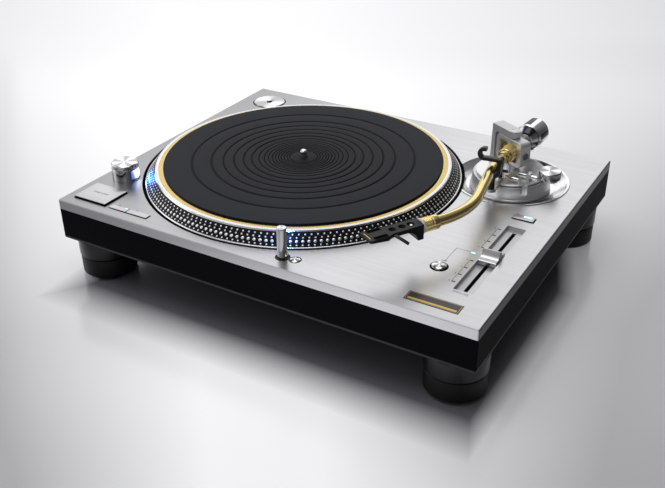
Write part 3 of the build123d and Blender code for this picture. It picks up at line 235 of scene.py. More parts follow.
world = bpy.data.worlds.new("studio")
bpy.context.scene.world = world
sky = Shading(world)
sky_x, sky_y, sky_z = [Value(sky, socket) for socket in sky.add("ShaderNodeSeparateXYZ", {}, {
    0: sky.add("ShaderNodeTexCoord").outputs["Generated"]}).outputs]
left_share = sky.ramp(sky_x * -1.0 + sky_z * 0.3, -0.5, 0.7)
background = sky.add("ShaderNodeBackground", {}, {
    "Color": sky.mix(left_share, (0.10, 0.10, 0.11), (0.85, 0.85, 0.86)), "Strength": 0.55})
sky.add("ShaderNodeOutputWorld", {}, {0: background.outputs[0]})


def softbox(name, place, target, size, power, colour=(1.0, 1.0, 1.0)):
    """A rectangular soft light at one point, aimed at another, both in millimetres."""
    data = bpy.data.lights.new(name, "AREA")
    data.shape = "RECTANGLE"
    data.size, data.size_y = size[0] / 1000.0, size[1] / 1000.0
    data.energy = power
    data.color = colour
    lamp = bpy.data.objects.new(name, data)
    bpy.context.scene.collection.objects.link(lamp)
    start, end = Vector(metres(place)), Vector(metres(target))
    lamp.matrix_world = Matrix.Translation(start) @ (end - start).to_track_quat("-Z",
        "Y").to_matrix().to_4x4()
    return lamp


softbox("back_light", (-700, 1350, 820), (0, 0, 0), (2200, 1100), 6.0)
softbox("top_light", (-100, -100, 1500), (0, 0, 0), (1300, 1300), 10.0)
softbox("left_light", (-1500, -500, 600), (0, 0, 0), (900, 1200), 3.0)
softbox("front_light", (300, -1700, 500), (0, 0, 0), (1400, 500), 0.8)


# Top plate and cabinet
# A 10 mm aluminium plate, brushed from side to side and cut for every control, lies on a black
# cabinet, which a cover with a rounded edge closes below.
def grained(name, scale, dark, light, roughness, spread, relief=0.0, detail=2.0, **constants):
    """A finish whose colour, roughness and relief follow one noise: roughness + grain * spread."""
    finish = Finish(name, **constants)
    grain = finish.noise(scale, detail)
    finish.set(base_color=finish.mix(grain, dark, light), roughness=roughness + grain * spread)
    return finish.bump(grain, relief) if relief else finish


def dress(node, finish):
    """A CAD node keeps its shape and gets a finish."""
    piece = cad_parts[node]
    if not piece.material_slots:
        piece.data.materials.append(finish.material)
    for material_slot in piece.material_slots:
        material_slot.material = finish.material


platter_place = (-48.5, -0.7)
plate_finish = Finish("brushed_plate_finish", metallic=1.0)
brush = plate_finish.noise((0.006, 1.6, 1.6), 3.0)
streaks = plate_finish.noise((0.012, 0.25, 0.25), 2.0)
plate_x, plate_y, plate_z = plate_finish.place((0.0, 0.0, 0.0))
from_middle_x, from_middle_y = plate_x - platter_place[0], plate_y - platter_place[1]
well_reach = (from_middle_x * from_middle_x + from_middle_y * from_middle_y) ** 0.5
well_wall = (well_reach > 168.0) * (well_reach < 170.0) * (plate_z > -2.5)
openings_left, openings_right, openings_deep = -225.5, 182.0, 179.5
# Painted shade: the walls inside the plate's openings, apart from the platter's well, are painted near black.
painted_shade_walls = (
    (plate_z < -0.15) * (1.0 - well_wall) * (plate_x > openings_left) * (plate_x < openings_right)
    * (plate_y > -openings_deep) * (plate_y < openings_deep))
# Painted shade: the plate's colour grows darker towards the left.
painted_light_share = plate_finish.ramp(plate_x, -300.0, 80.0)
metal_colour = plate_finish.mix(brush * 0.5 + streaks * 0.5, (0.58, 0.58, 0.6), (0.80, 0.80, 0.815))
metal_colour = plate_finish.mix(painted_light_share, (0.3, 0.3, 0.31), metal_colour)
# Painted shade: the plate's right side face is painted near black.
metal_colour = plate_finish.mix(plate_x > 226.2, metal_colour, (0.09, 0.09, 0.1))
plate_finish.set(
    base_color=plate_finish.mix(painted_shade_walls, metal_colour, (0.01, 0.01, 0.01)), roughness=0.28 + brush * 0.12)
plate_finish.bump(brush, 0.012)
dress("top_plate", plate_finish)

cabinet_finish = grained(
    "cabinet_finish", 2.2, (0.003, 0.003, 0.004), (0.006, 0.006, 0.008), 0.42, 0.12, relief=0.01,
    specular_ior_level=0.02)
dress("cabinet", cabinet_finish)
cover_finish = grained(
    "cover_finish", 1.5, (0.035, 0.035, 0.038), (0.055, 0.055, 0.06), 0.38, 0.1, relief=0.01,
    specular_ior_level=0.15)
dress("base_cover", cover_finish)
screw_finish = grained(
    "screw_finish", (1.0, 1.0, 4.0), (0.18, 0.18, 0.19), (0.32, 0.32, 0.33), 0.3, 0.15, metallic=1.0)
dress("base_screws", screw_finish)


# Feet
# Four levelling feet: a fixed gloss collar under the cover and a satin body that screws in and out
# below a narrow gap, on a flat sole with a bevelled edge.
def soften(corners, radius, steps=4, closed=True):
    """Corners rounded by (1-t)^2 a + 2t(1-t) corner + t^2 b, with a and b a radius away on its two sides."""
    corners = np.asarray(corners, float)
    before = np.roll(corners, 1, axis=0) - corners
    after = np.roll(corners, -1, axis=0) - corners
    if not closed:
        before[0], after[0], before[-1], after[-1] = 0.0, 0.0, 0.0, 0.0
    sides = []
    for side in (before, after):
        length = np.maximum(np.linalg.norm(side, axis=1, keepdims=True), 1e-9)
        sides.append(corners + side / length * np.minimum(radius, 0.45 * length))
    t = np.linspace(0.0, 1.0, steps)[None, :, None]
    first, last = sides[0][:, None], sides[1][:, None]
    curve = (1 - t) ** 2 * first + 2 * t * (1 - t) * corners[:, None] + t**2 * last
    return curve.reshape(-1, corners.shape[1])


def turned(profile, centre=(0.0, 0.0), steps=128):
    """A profile of radius and height turned about an upright axis: (r cos a, r sin a, h)."""
    profile = np.asarray(profile, float)
    angle = np.linspace(0.0, 2 * np.pi, steps, endpoint=False)[:, None]
    radius, height = profile[:, 0][None], profile[:, 1][None]
    return np.stack([
        centre[0] + radius * np.cos(angle), centre[1] + radius * np.sin(angle), height + 0 * angle], axis=-1)


def join(name, grids, finish, body, replaces=(), sharp=32.0, smooth=True):
    """One piece from point grids, each with whether its rows and its columns close on themselves."""
    points, faces, count = [], [], 0
    for grid, wrap in grids:
        rows, columns = grid.shape[:2]
        number = np.arange(rows * columns).reshape(rows, columns) + count
        if wrap[0]:
            number = np.concatenate([number, number[:1]])
        if wrap[1]:
            number = np.concatenate([number, number[:, :1]], axis=1)
        corners = [number[:-1, :-1], number[1:, :-1], number[1:, 1:], number[:-1, 1:]]
        faces.append(np.stack(corners, axis=-1).reshape(-1, 4))
        points.append(metres(grid.reshape(-1, 3)))
        count += rows * columns
    mesh = bpy.data.meshes.new(name)
    mesh.from_pydata(np.concatenate(points).tolist(), [], np.concatenate(faces).tolist())
    return finished(name, mesh, finish, body, replaces, sharp, smooth)


def finished(name, mesh, finish, body, replaces=(), sharp=32.0, smooth=True):
    """Seams merged, faces turned outwards, edges over the angle kept sharp, and the piece put on its body."""
    shape = bmesh.new()
    shape.from_mesh(mesh)
    bmesh.ops.remove_doubles(shape, verts=shape.verts, dist=2e-7)
    bmesh.ops.dissolve_degenerate(shape, edges=shape.edges, dist=1e-8)
    bmesh.ops.recalc_face_normals(shape, faces=shape.faces)
    shape.to_mesh(mesh)
    shape.free()
    mesh.polygons.foreach_set("use_smooth", np.full(len(mesh.polygons), smooth))
    mesh.set_sharp_from_angle(angle=np.radians(sharp))
    mesh.materials.append(finish.material)
    piece = bpy.data.objects.new(name, mesh)
    bpy.context.scene.collection.objects.link(piece)
    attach(piece, body)
    if replaces:
        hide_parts(*replaces)
    return piece


ring_wrap = (True, True)
pole_wrap = (True, False)
strip_wrap = (False, True)
foot_places = {
    "foot_front_left": (-197.6, -151.0), "foot_front_right": (197.6, -151.0),
    "foot_back_left": (-197.6, 145.5), "foot_back_right": (197.6, 145.5),
}
collar_profile = soften([
    (4.1, -43.4), (28.2, -43.4), (28.8, -44.0), (28.8, -61.6), (28.0, -62.4), (4.1, -62.4)], 0.25)
foot_profile = soften([
    (0, -86.1), (24.0, -86.1), (24.0, -85.3), (25.0, -85.3), (28.0, -82.3), (28.0, -64.0), (27.2, -63.2),
    (4.0, -63.2), (4.0, -31.4), (0, -31.4)], 0.4, closed=False)
collar_finish = grained(
    "foot_collar_finish", 0.4, (0.006, 0.006, 0.007), (0.012, 0.012, 0.013), 0.16, 0.06,
    specular_ior_level=0.35)
foot_finish = grained(
    "foot_finish", 1.4, (0.006, 0.006, 0.006), (0.012, 0.012, 0.012), 0.36, 0.15, relief=0.01, detail=3.0,
    specular_ior_level=0.2)
join("foot_collar_rings", [(turned(collar_profile, place), ring_wrap) for place in foot_places.values()],
     collar_finish, deck_body, ["foot_collars"])
for foot_name, foot_place in foot_places.items():
    join(foot_name + "_body", [(turned(foot_profile, foot_place), pole_wrap)], foot_finish, foot_name,
         [foot_name])

# Back and inside
# Moulded sockets for the dust cover's hinges, the mains inlet and the terminal panel with gold
# plated jacks; coils, boards and bearing are inside and only show with the platter off.
plastic_finish = grained(
    "moulded_plastic_finish", 3.0, (0.012, 0.012, 0.012), (0.022, 0.022, 0.023), 0.42, 0.15, relief=0.02)
for node in ("hinge_sockets", "mains_inlet", "terminal_panel", "lamp_sleeve"):
    dress(node, plastic_finish)
plated_finish = grained(
    "gold_plated_finish", 0.5, (0.78, 0.55, 0.2), (0.9, 0.68, 0.3), 0.16, 0.12, metallic=1.0)
dress("rear_terminals", plated_finish)
board_finish = Finish("circuit_board_finish", roughness=0.45)
board_patch = board_finish.noise(0.12, 3.0)
board_finish.set(base_color=board_finish.mix(board_patch, (0.02, 0.12, 0.05), (0.05, 0.2, 0.09)))
for node in ("power_supply", "control_board", "stator"):
    dress(node, board_finish)
steel_finish = grained(
    "rotor_steel_finish", 0.5, (0.4, 0.4, 0.41), (0.56, 0.56, 0.57), 0.32, 0.15, detail=3.0, metallic=1.0)
for node in ("rotor_yoke", "rotor_magnet", "bearing_housing"):
    dress(node, steel_finish)


# Buttons
# Satin aluminium caps with rounded edges, each in its own gap in the plate, widened by strips of
# painted shade, and two turned ones with painted highlights. Each slides down on a stem.
def capped(grid):
    """A grid closed at both ends by the middle points of its first and last rows."""
    first, last = grid[0], grid[-1]
    middles = [np.repeat(row.mean(axis=0, keepdims=True), len(row), axis=0)[None] for row in (first, last)]
    return np.concatenate([middles[0], grid, middles[1]])


def pad(width, depth, corner, levels, centre, steps=5):
    """A rounded rectangle drawn in and lifted level by level, with (inset, height) for each."""
    quarter = np.arange(4).repeat(steps)
    angle = np.radians(quarter * 90.0 + np.tile(np.linspace(0.0, 90.0, steps), 4))
    side_x = np.where((quarter == 0) | (quarter == 3), 1.0, -1.0)
    side_y = np.where(quarter < 2, 1.0, -1.0)
    inset, height = np.asarray(levels, float).T[..., None]
    keep = np.maximum(corner - inset, 0.05)
    x = side_x * (width / 2 - inset - keep) + keep * np.cos(angle)
    y = side_y * (depth / 2 - inset - keep) + keep * np.sin(angle)
    return capped(np.stack([centre[0] + x, centre[1] + y, height + 0 * x], axis=-1))


def key_levels(top, low=-8.3):
    """Levels of a flat key: a straight wall and a small round edge."""
    edge = np.radians(np.linspace(0.0, 90.0, 5))
    return [(0.3, low), (0.0, low + 0.3)] + [(0.4 - 0.4 * np.cos(a),
        top - 0.4 + 0.4 * np.sin(a)) for a in edge]


def key_finish(name, top):
    """Brushed aluminium on top, and walls painted near black as the gap's shade."""
    finish = Finish(name, metallic=1.0)
    grain = finish.noise((0.01, 1.8, 1.8), 3.0)
    face = finish.mix(grain, (0.5, 0.5, 0.515), (0.68, 0.68, 0.69))
    # Painted shade: below its top edge the key's wall is painted near black.
    wall = finish.place((0.0, 0.0, top - 0.25))[2] < 0.0
    finish.set(base_color=finish.mix(wall, face, (0.01, 0.01, 0.01)), roughness=0.24 + grain * 0.1)
    return finish.bump(grain, 0.008)


def flat_boxes(boxes, low, high):
    """Thin printed bars, one grid for each (left, front, right, back)."""
    grids = []
    for left, front, right_side, rear in boxes:
        ring = np.array([(left, front), (right_side, front), (right_side, rear), (left, rear)], float)
        levels = [np.column_stack([ring, np.full(4, z)]) for z in (low, high)]
        grids.append((capped(np.stack(levels)), strip_wrap))
    return grids


keys = {
    "start_button": ((-195.6, -151.5), (40.8, 33.0), 1.2, 2.0, "start_button"),
    "button_33": ((-159.05, -165.0), (21.1, 6.8), 0.7, 0.8, "speed_button_33"),
    "button_45": ((-135.15, -165.0), (25.5, 6.8), 0.7, 0.8, "speed_button_45"),
    "double_speed": ((192.0, 9.8), (21.0, 8.5), 0.9, 1.2, "double_speed_button"),
}
for body, (place, size, corner, top, node) in keys.items():
    cap = pad(*size, corner, key_levels(top), place)
    stem = turned([(0, -16.0), (3.0, -16.0), (3.0, -8.2), (0, -8.2)], place, 24)
    join(node + "_cap", [(cap, strip_wrap), (stem, pole_wrap)], key_finish(node + "_finish", top), body,
         [node])

# Painted shade: thin near-black strips on the plate along each key's front and right side.
gap_shade_strips = []
for name, ((middle_x, middle_y), (wide, deep_key), *_) in keys.items():
    gap = 1.3 if name == "start_button" else 0.9
    left, front, edge_x = middle_x - wide / 2, middle_y - deep_key / 2, middle_x + wide / 2
    gap_shade_strips += [
        (left, front - gap, edge_x + gap, front - 0.1),
        (edge_x + 0.1, front - 0.1, edge_x + gap, front + deep_key)]
painted_shade_finish = grained(
    "key_painted_shade_finish", 2.0, (0.002, 0.002, 0.002), (0.006, 0.006, 0.006), 0.6, 0.2, specular_ior_level=0.05)
join("key_gap_shade", flat_boxes(gap_shade_strips, -0.04, 0.03), painted_shade_finish, deck_body)

spun_places = {"reset": (158.8, -108.5), "lamp_release": (43.8, -161.4)}
spun_profiles = {
    "reset": [
        (0, -16.0), (3.0, -16.0), (3.0, -8.3), (7.0, -8.3), (7.0, 0.9), (6.3, 1.7), (4.6, 2.3), (0, 2.6)],
    "lamp_release": [
        (0, -16.0), (3.0, -16.0), (3.0, -8.3), (5.2, -8.3), (5.2, 0.3), (4.6, 0.8), (1.6, 1.6), (0, 1.6)],
}


def spun_painted_glint_finish(
        name, centre, dark=(0.3, 0.3, 0.31), light=(0.95, 0.95, 0.96), painted_glint_sectors=2.0, phase=0.0, roughness=0.2):
    """Metal turned on a lathe, with painted highlight wedges, bright and dark, about its upright axis and
    fine rings.
    """
    finish = Finish(name, metallic=1.0, anisotropic=0.6)
    x, y, _ = finish.place((*centre, 0.0))
    radius = (x * x + y * y) ** 0.5
    rings = finish.maths("SINE", radius * 9.0)
    # Painted highlight: the colour runs from dark to bright in wedges round the axis.
    glint = finish.painted_glint_sectors(x, y, painted_glint_sectors, phase, -0.8, 0.9)
    finish.set(base_color=finish.mix(glint, dark, light), roughness=roughness + rings * 0.03)
    return finish.bump(rings, 0.004)


for body, place in spun_places.items():
    join(body + "_cap", [(turned(soften(spun_profiles[body], 0.3, closed=False), place, 64), pole_wrap)],
         spun_painted_glint_finish(body + "_finish", place, painted_glint_sectors=4.0), body, [body + "_button"])

# Strobe housing and power knob
# A turned housing with a window towards the platter's dots, lit blue white from inside, and the
# power switch as a flat knob that turns on top of it.
knob_place = (-201.6, -107.1)
window_angle = np.radians(19.8)
window_half = 0.74
housing_steps = 240
housing_profile = soften([
    (3.3, 0.0), (13.8, 0.0), (13.8, 0.5), (14.1, 0.6), (14.1, 12.4), (13.9, 12.6), (3.3, 12.6)], 0.12)
window_rows = np.linspace(0.7, 12.2, 60)
wall = np.stack([np.full(60, 14.1), window_rows], axis=-1)
housing_profile = np.concatenate([housing_profile[:16], wall, housing_profile[16:]])
housing_grid = turned(housing_profile, (0.0, 0.0), housing_steps)
around = np.arctan2(housing_grid[..., 1], housing_grid[..., 0]) - window_angle
around = (around + np.pi) % (2 * np.pi) - np.pi
in_window = (np.abs(around) < window_half + 0.02) & (housing_grid[..., 2] > 2.2) & (housing_grid[...,
    2] < 11.6)
in_window &= np.hypot(housing_grid[..., 0], housing_grid[..., 1]) > 13.5
housing_grid[..., :2] *= np.where(in_window, 12.4 / 14.1, 1.0)[..., None]
housing_grid[..., :2] += knob_place
housing_finish = spun_painted_glint_finish("strobe_housing_finish", knob_place, (0.4, 0.4, 0.41), (1.0, 1.0, 1.0), 7.0,
    0.8, 0.12)
join("strobe_housing_wall", [(housing_grid, ring_wrap)], housing_finish, deck_body,
     ["strobe_housing"])
lens_finish = Finish("strobe_lens_finish", (0.7, 0.8, 1.0), roughness=0.2, emission_strength=2.2)
lens_x, lens_y, lens_z = lens_finish.place((*knob_place, 0.0))
lens_round = lens_finish.maths("ARCTAN2", lens_y, lens_x)
hot = lens_finish.ramp(lens_round + lens_z * 0.02, -0.1, 0.2)
lens_finish.set(emission_color=lens_finish.mix(hot, (0.01, 0.05, 0.3), (0.9, 0.95, 1.0)))
lens_angle = np.linspace(-window_half, window_half, 40)[:, None] + window_angle
lens_section = np.array([(13.7, 2.3), (13.7, 11.5), (12.6, 11.5), (12.6, 2.3)])
lens_grid = np.stack([
    knob_place[0] + lens_section[:, 0] * np.cos(lens_angle),
    knob_place[1] + lens_section[:, 0] * np.sin(lens_angle), lens_section[:, 1] + 0 * lens_angle], axis=-1)
join("strobe_window_lens", [(capped(lens_grid), strip_wrap)], lens_finish, deck_body,
     ["strobe_lens"])
knob_profile = soften([
    (0, -16.0), (3.0, -16.0), (3.0, 12.85), (14.1, 12.85), (14.1, 16.5), (12.9, 17.7), (12.4, 17.55),
    (0, 17.55)], 0.25, closed=False)
knob_finish = spun_painted_glint_finish("power_knob_finish", knob_place, (0.45, 0.45, 0.46), (1.0, 1.0, 1.0), 5.0, 0.4,
    0.16)
join("power_knob_turned", [(turned(knob_profile, knob_place, 160), pole_wrap)], knob_finish, "power_knob",
     ["power_knob"])
window_side = np.array([np.cos(window_angle), np.sin(window_angle)])
strobe_light = softbox("strobe_light", (*(np.array(knob_place) + window_side * 15.5), 7.0),
                       (*(np.array(knob_place) + window_side * 40.0), 7.0), (10, 8), 0.014, (0.02, 0.12, 1.0))
strobe_light.data.spread = np.radians(120.0)

# Target lamp
# A bright tube that rises from the plate when its button is pressed, with a small lamp near its
# top that lights the platter's edge; a black sleeve guides it.
lamp_place = (31.6, -162.9)
lamp_turn = np.radians(116.3)
lamp_profile = soften([(0, -9.0), (4.75, -9.0), (4.75, 29.5), (4.1, 30.2), (0, 30.2)], 0.3, closed=False)
lamp_finish = Finish("target_lamp_finish", metallic=1.0, anisotropic=0.4)
lamp_x, lamp_y, _ = lamp_finish.place((*lamp_place, 0.0))
# Painted highlight: bright and dark wedges round the lamp tube.
lamp_glint = lamp_finish.painted_glint_sectors(lamp_x, lamp_y, 2.0, 0.9, -0.6, 0.6)
lamp_finish.set(
    base_color=lamp_finish.mix(lamp_glint, (0.5, 0.5, 0.52), (0.92, 0.92, 0.93)),
    roughness=0.14 + lamp_finish.noise((0.8, 0.8, 3.0)) * 0.06)
join("target_lamp_tube", [(turned(lamp_profile, lamp_place, 96), pole_wrap)], lamp_finish, "target_lamp",
     ["target_lamp"])
bulb_finish = Finish("target_bulb_finish", (0.8, 0.9, 1.0), roughness=0.3, emission_strength=5.0)
bulb_glow = bulb_finish.noise(0.6)
bulb_finish.set(emission_color=bulb_finish.mix(bulb_glow, (0.3, 0.5, 1.0), (0.6, 0.75, 1.0)))
bulb_side = np.array([np.cos(lamp_turn), np.sin(lamp_turn)])
bulb_place = np.array(lamp_place) + bulb_side * 3.6
bulb_profile = soften([(0, 24.2), (1.9, 24.4), (1.9, 27.4), (0, 27.6)], 0.8, closed=False)
join("target_lamp_bulb", [(turned(bulb_profile, bulb_place, 24), pole_wrap)], bulb_finish, "target_lamp")
softbox("target_light", (*(np.array(lamp_place) + bulb_side * 6.5), 26.0),
        (*(np.array(lamp_place) + bulb_side * 24.0), 17.0), (4, 4), 0.011, (0.08, 0.25, 1.0))

# Record adapter
# A turned disc for records with a large hole, lying in its own recess at the back left.
adapter_place = (-191.2, 144.1)
adapter_profile = soften([
    (3.62, -8.0), (18.3, -8.0), (19.3, -7.0), (19.3, 0.4), (18.5, 1.2), (6.4, 1.2), (5.6, 0.6),
    (3.62, 0.6)], 0.25)
join("record_adapter_disc", [(turned(adapter_profile, adapter_place, 128), ring_wrap)],
     spun_painted_glint_finish("record_adapter_finish", adapter_place, (0.45, 0.45, 0.46), (0.92, 0.92, 0.93), 2.0, 2.2),
     "record_adapter", ["record_adapter"])

# Pitch slider
# A machined well with a long slot, a saddle knob with a ridge across its middle, and ticks with
# their numbers on the plate beside it.
slider_place = (192.85, -72.8)
well_finish = Finish("slider_well_finish", metallic=1.0)
well_brush = well_finish.noise((1.4, 0.02, 0.2), 2.0)
_, _, well_z = well_finish.place((0.0, 0.0, 0.0))
# Painted shade: below 5.5 mm the well is painted black and not metal.
painted_shade_in_well = well_z < -5.5
well_metal = well_finish.mix(well_brush, (0.56, 0.56, 0.575), (0.68, 0.68, 0.69))
well_finish.set(
    base_color=well_finish.mix(painted_shade_in_well, well_metal, (0.01, 0.01, 0.01)),
    roughness=0.3 + well_brush * 0.08, metallic=1.0 - painted_shade_in_well)
dress("slider_well", well_finish)
saddle_y = np.linspace(-10.5, 10.5, 61)
reach_in = np.clip((10.5 - np.abs(saddle_y)) / 9.7, 0.0, 1.0)
saddle_top = 1.0 + 0.8 * np.clip(reach_in * 4.0, 0, 1) ** 0.5 + 6.2 * np.clip((reach_in - 0.32) / 0.68, 0,
    1) ** 2.2
saddle_top = np.where(np.abs(saddle_y) <= 0.9, 8.0, saddle_top)
half, low, saddle_edge = 8.5, -2.9, 0.35
saddle_x = np.array([-half, -half, -half + saddle_edge, half - saddle_edge, half, half])
saddle_drop = np.array([0.0, saddle_edge, 0.0, 0.0, saddle_edge, 0.0])
on_top = np.array([False, True, True, True, True, False])
saddle_z = np.where(on_top, saddle_top[:, None] - saddle_drop, low)
saddle = np.stack([
    slider_place[0] + saddle_x + 0 * saddle_z, slider_place[1] + saddle_y[:, None] + 0 * saddle_z,
    saddle_z], axis=-1)
chrome_finish = grained(
    "bright_chrome_finish", 0.3, (0.78, 0.78, 0.79), (0.88, 0.88, 0.89), 0.12, 0.08, metallic=1.0)
stem_grid = pad(3.0, 8.0, 0.5, [(0, -20.0), (0, -2.9)], slider_place)
saddle_finish = grained(
    "slider_saddle_finish", (0.05, 1.4, 1.4), (0.5, 0.5, 0.515), (0.62, 0.62, 0.635), 0.26, 0.08,
    metallic=1.0)
join("slider_saddle", [(capped(saddle), strip_wrap), (stem_grid, strip_wrap)], saddle_finish,
     "pitch_slider", ["slider_knob"], sharp=28.0)


# Marks on the plate
# Printed ticks, numbers and words in thin dark ink on the brushed metal, and three small blue
# lamps; the name's place on the front edge is bare.
def lettering(name, lines, finish, body):
    """Words made a mesh and laid flat, each line as (words, size, place, turn) in millimetres and degrees."""
    shape = bmesh.new()
    for words, size, place, turn in lines:
        curve = bpy.data.curves.new(name, "FONT")
        curve.body = words
        curve.size = size / 1000.0
        curve.align_x, curve.align_y = "CENTER", "CENTER"
        curve.extrude = 0.00003
        holder = bpy.data.objects.new(name + "_text", curve)
        bpy.context.scene.collection.objects.link(holder)
        bpy.context.view_layer.update()
        mesh = bpy.data.meshes.new_from_object(holder.evaluated_get(bpy.context.evaluated_depsgraph_get()))
        bpy.data.objects.remove(holder)
        mesh.transform(Matrix.Translation(metres(place)) @ Matrix.Rotation(np.radians(turn), 4, "Z"))
        shape.from_mesh(mesh)
        bpy.data.meshes.remove(mesh)
    mesh = bpy.data.meshes.new(name)
    shape.to_mesh(mesh)
    shape.free()
    return finished(name, mesh, finish, body, smooth=False)


ink_finish = Finish("ink_finish", roughness=0.5)
ink_patch = ink_finish.noise(2.0)
ink_finish.set(base_color=ink_finish.mix(ink_patch, (0.02, 0.02, 0.022), (0.05, 0.05, 0.055)))
tick_rows = [-20.9, -34.1, -46.8, -59.8, -85.7, -98.9, -111.7, -124.7]
tick_x = 179.7
ticks = [(tick_x - 1.7, row - 0.8, tick_x + 1.5, row + 0.8) for row in tick_rows]
ticks.append((tick_x - 2.0, -59.8, tick_x - 1.65, -20.9))
ticks.append((tick_x - 2.0, -124.7, tick_x - 1.65, -85.7))
ticks += [(159.1, -98.2, 159.5, -72.0), (159.1, -72.2, 172.6, -71.8)]
join("pitch_ticks", flat_boxes(ticks, -0.02, 0.05), ink_finish, deck_body)
numbers = [(words, 2.6, (tick_x - 4.2, row, 0.03), 0.0) for words, row in zip("86422468", tick_rows)]
words = numbers + [
    ("PITCH ADJ", 3.0, (192.0, -138.6, 0.03), 0.0), ("RESET", 2.0, (158.8, -97.6, 0.03), 0.0),
    ("33", 2.2, (-163.0, -159.6, 0.03), 0.0), ("45", 2.2, (-141.0, -159.6, 0.03), 0.0),
    ("x2", 2.2, (184.0, 16.4, 0.03), 0.0), ("ON", 2.2, (-221.5, -105.0, 0.03), 0.0),
    ("OFF", 2.2, (-217.5, -92.0, 0.03), 0.0),
]
lettering("plate_words", words, ink_finish, deck_body)
lettering("start_words", [("START·STOP", 3.4, (-195.6, -151.5, 2.02), 0.0)], ink_finish, "start_button")
glow_finish = Finish("blue_lamp_finish", (0.4, 0.6, 1.0), roughness=0.4, emission_strength=2.2)
glow_patch = glow_finish.noise(1.0)
glow_finish.set(emission_color=glow_finish.mix(glow_patch, (0.12, 0.33, 1.0), (0.4, 0.62, 1.0)))
join("zero_lamp", flat_boxes([(173.4, -73.6, 177.6, -71.9)], -0.02, 0.08), glow_finish, deck_body)
join("double_lamp", flat_boxes([(191.5, 10.6, 199.5, 13.0)], 1.18, 1.28), glow_finish, "double_speed")
join("lamp_33", flat_boxes([(-152.6, -163.2, -149.8, -162.2)], 0.78, 0.88), glow_finish, "button_33")

# Plaque
# A thin black plate let into the front edge, with a gold border and a gold bar; the middle is bare.
plaque_finish = grained(
    "plaque_finish", 1.0, (0.004, 0.004, 0.004), (0.01, 0.01, 0.01), 0.3, 0.1, coat_weight=0.4,
    coat_roughness=0.15)
dress("plaque", plaque_finish)
plaque_place = np.array([178.5, -161.85])
border_lines = [
    (-23.6, -5.75, 23.6, -5.35), (-23.6, 5.35, 23.6, 5.75), (-23.6, -5.35, -23.2, 5.35),
    (23.2, -5.35, 23.6, 5.35), (-22.0, -4.6, 22.0, -2.2)]
border = [(*(plaque_place + line[:2]), *(plaque_place + line[2:])) for line in border_lines]
foil_finish = grained(
    "gold_foil_finish", 1.4, (0.62, 0.43, 0.12), (0.8, 0.58, 0.2), 0.3, 0.15, metallic=1.0)
join("plaque_border", flat_boxes(border, 0.15, 0.27), foil_finish, deck_body)

# Platter
# An aluminium casting with a polished lip and bead, a black sloping band of bright dots, a brass
# top ring and a grooved rubber mat; the spindle stands through them.
casting_profile = soften([
    (4.02, 5.8), (147.3, 5.8), (158.0, -2.5), (158.0, -7.5), (165.4, -7.5), (165.4, -2.0), (166.0, -1.5),
    (166.0, 0.0), (165.5, 0.5), (164.8, 0.6), (155.3, 11.5), (154.6, 12.8), (153.7, 12.8), (153.7, 10.8),
    (4.02, 10.8)], 0.15)
casting_finish = grained(
    "platter_casting_finish", (0.4, 0.4, 2.0), (0.8, 0.8, 0.81), (0.9, 0.9, 0.91), 0.14, 0.08, metallic=1.0,
    anisotropic=0.5)
join("platter_casting", [(turned(casting_profile, platter_place, 360), ring_wrap)], casting_finish, "platter",
     ["platter"])
band_finish = grained(
    "platter_band_finish", 0.8, (0.006, 0.006, 0.007), (0.013, 0.013, 0.014), 0.3, 0.1,
    specular_ior_level=0.12)
slope_top, slope_low = np.array([155.45, 11.42]), np.array([164.75, 0.75])
slope_out = np.array([0.754, 0.657])
band_profile = np.array([slope_top, slope_top + slope_out * 0.08, slope_low + slope_out * 0.08, slope_low])
join("platter_dot_band", [(turned(band_profile, platter_place, 360), ring_wrap)], band_finish, "platter")
dot_rows = [(0.18, 170, 0.9), (0.395, 174, 0.9), (0.64, 180, 1.5), (0.89, 186, 0.9)]
dot_rings = np.array([(1.0, 0.0), (0.86, 0.14), (0.5, 0.26), (0.0, 0.3)])
dots = []
for share, count, dot_radius in dot_rows:
    middle = slope_top + (slope_low - slope_top) * share + slope_out * 0.07
    along = (slope_low - slope_top) / np.linalg.norm(slope_low - slope_top)
    spin = np.linspace(0.0, 2 * np.pi, 10, endpoint=False)[None, :, None]
    size = dot_rings[:, None, :1] * dot_radius
    across = size * np.cos(spin)
    radius = middle[0] + size * np.sin(spin) * along[0] + dot_rings[:, None, 1:] * slope_out[0]
    height = middle[1] + size * np.sin(spin) * along[1] + dot_rings[:, None, 1:] * slope_out[1]
    one = np.concatenate([radius, across, height], axis=-1)
    turn = np.linspace(0.0, 2 * np.pi, count, endpoint=False)[:, None, None]
    x = one[None, ..., 0] * np.cos(turn) - one[None, ..., 1] * np.sin(turn)
    y = one[None, ..., 0] * np.sin(turn) + one[None, ..., 1] * np.cos(turn)
    placed = np.stack([x + platter_place[0], y + platter_place[1], one[None, ..., 2] + 0 * x], axis=-1)
    dots += [(dot, strip_wrap) for dot in placed]
dot_finish = grained(
    "platter_dot_finish", 0.2, (0.86, 0.86, 0.87), (0.95, 0.95, 0.96), 0.3, 0.1, metallic=1.0)
join("platter_dots", dots, dot_finish, "platter", sharp=80.0)
brass_finish = Finish("brass_ring_finish", metallic=1.0, anisotropic=0.4)
brass_noise = brass_finish.noise((0.3, 0.3, 3.0), 2.0)
brass_x, brass_y, _ = brass_finish.place((*platter_place, 0.0))
silvered = (brass_x * brass_x + brass_y * brass_y) ** 0.5 > 151.6
brass_colour = brass_finish.mix(brass_noise, (0.55, 0.4, 0.13), (0.78, 0.6, 0.24))
brass_finish.set(base_color=brass_finish.mix(silvered, brass_colour, (0.86, 0.86, 0.87)),
    roughness=0.2 + brass_noise * 0.1)
brass_profile = soften([(26.0, 10.8), (153.6, 10.8), (153.6, 12.8), (26.0, 12.8)], 0.12)
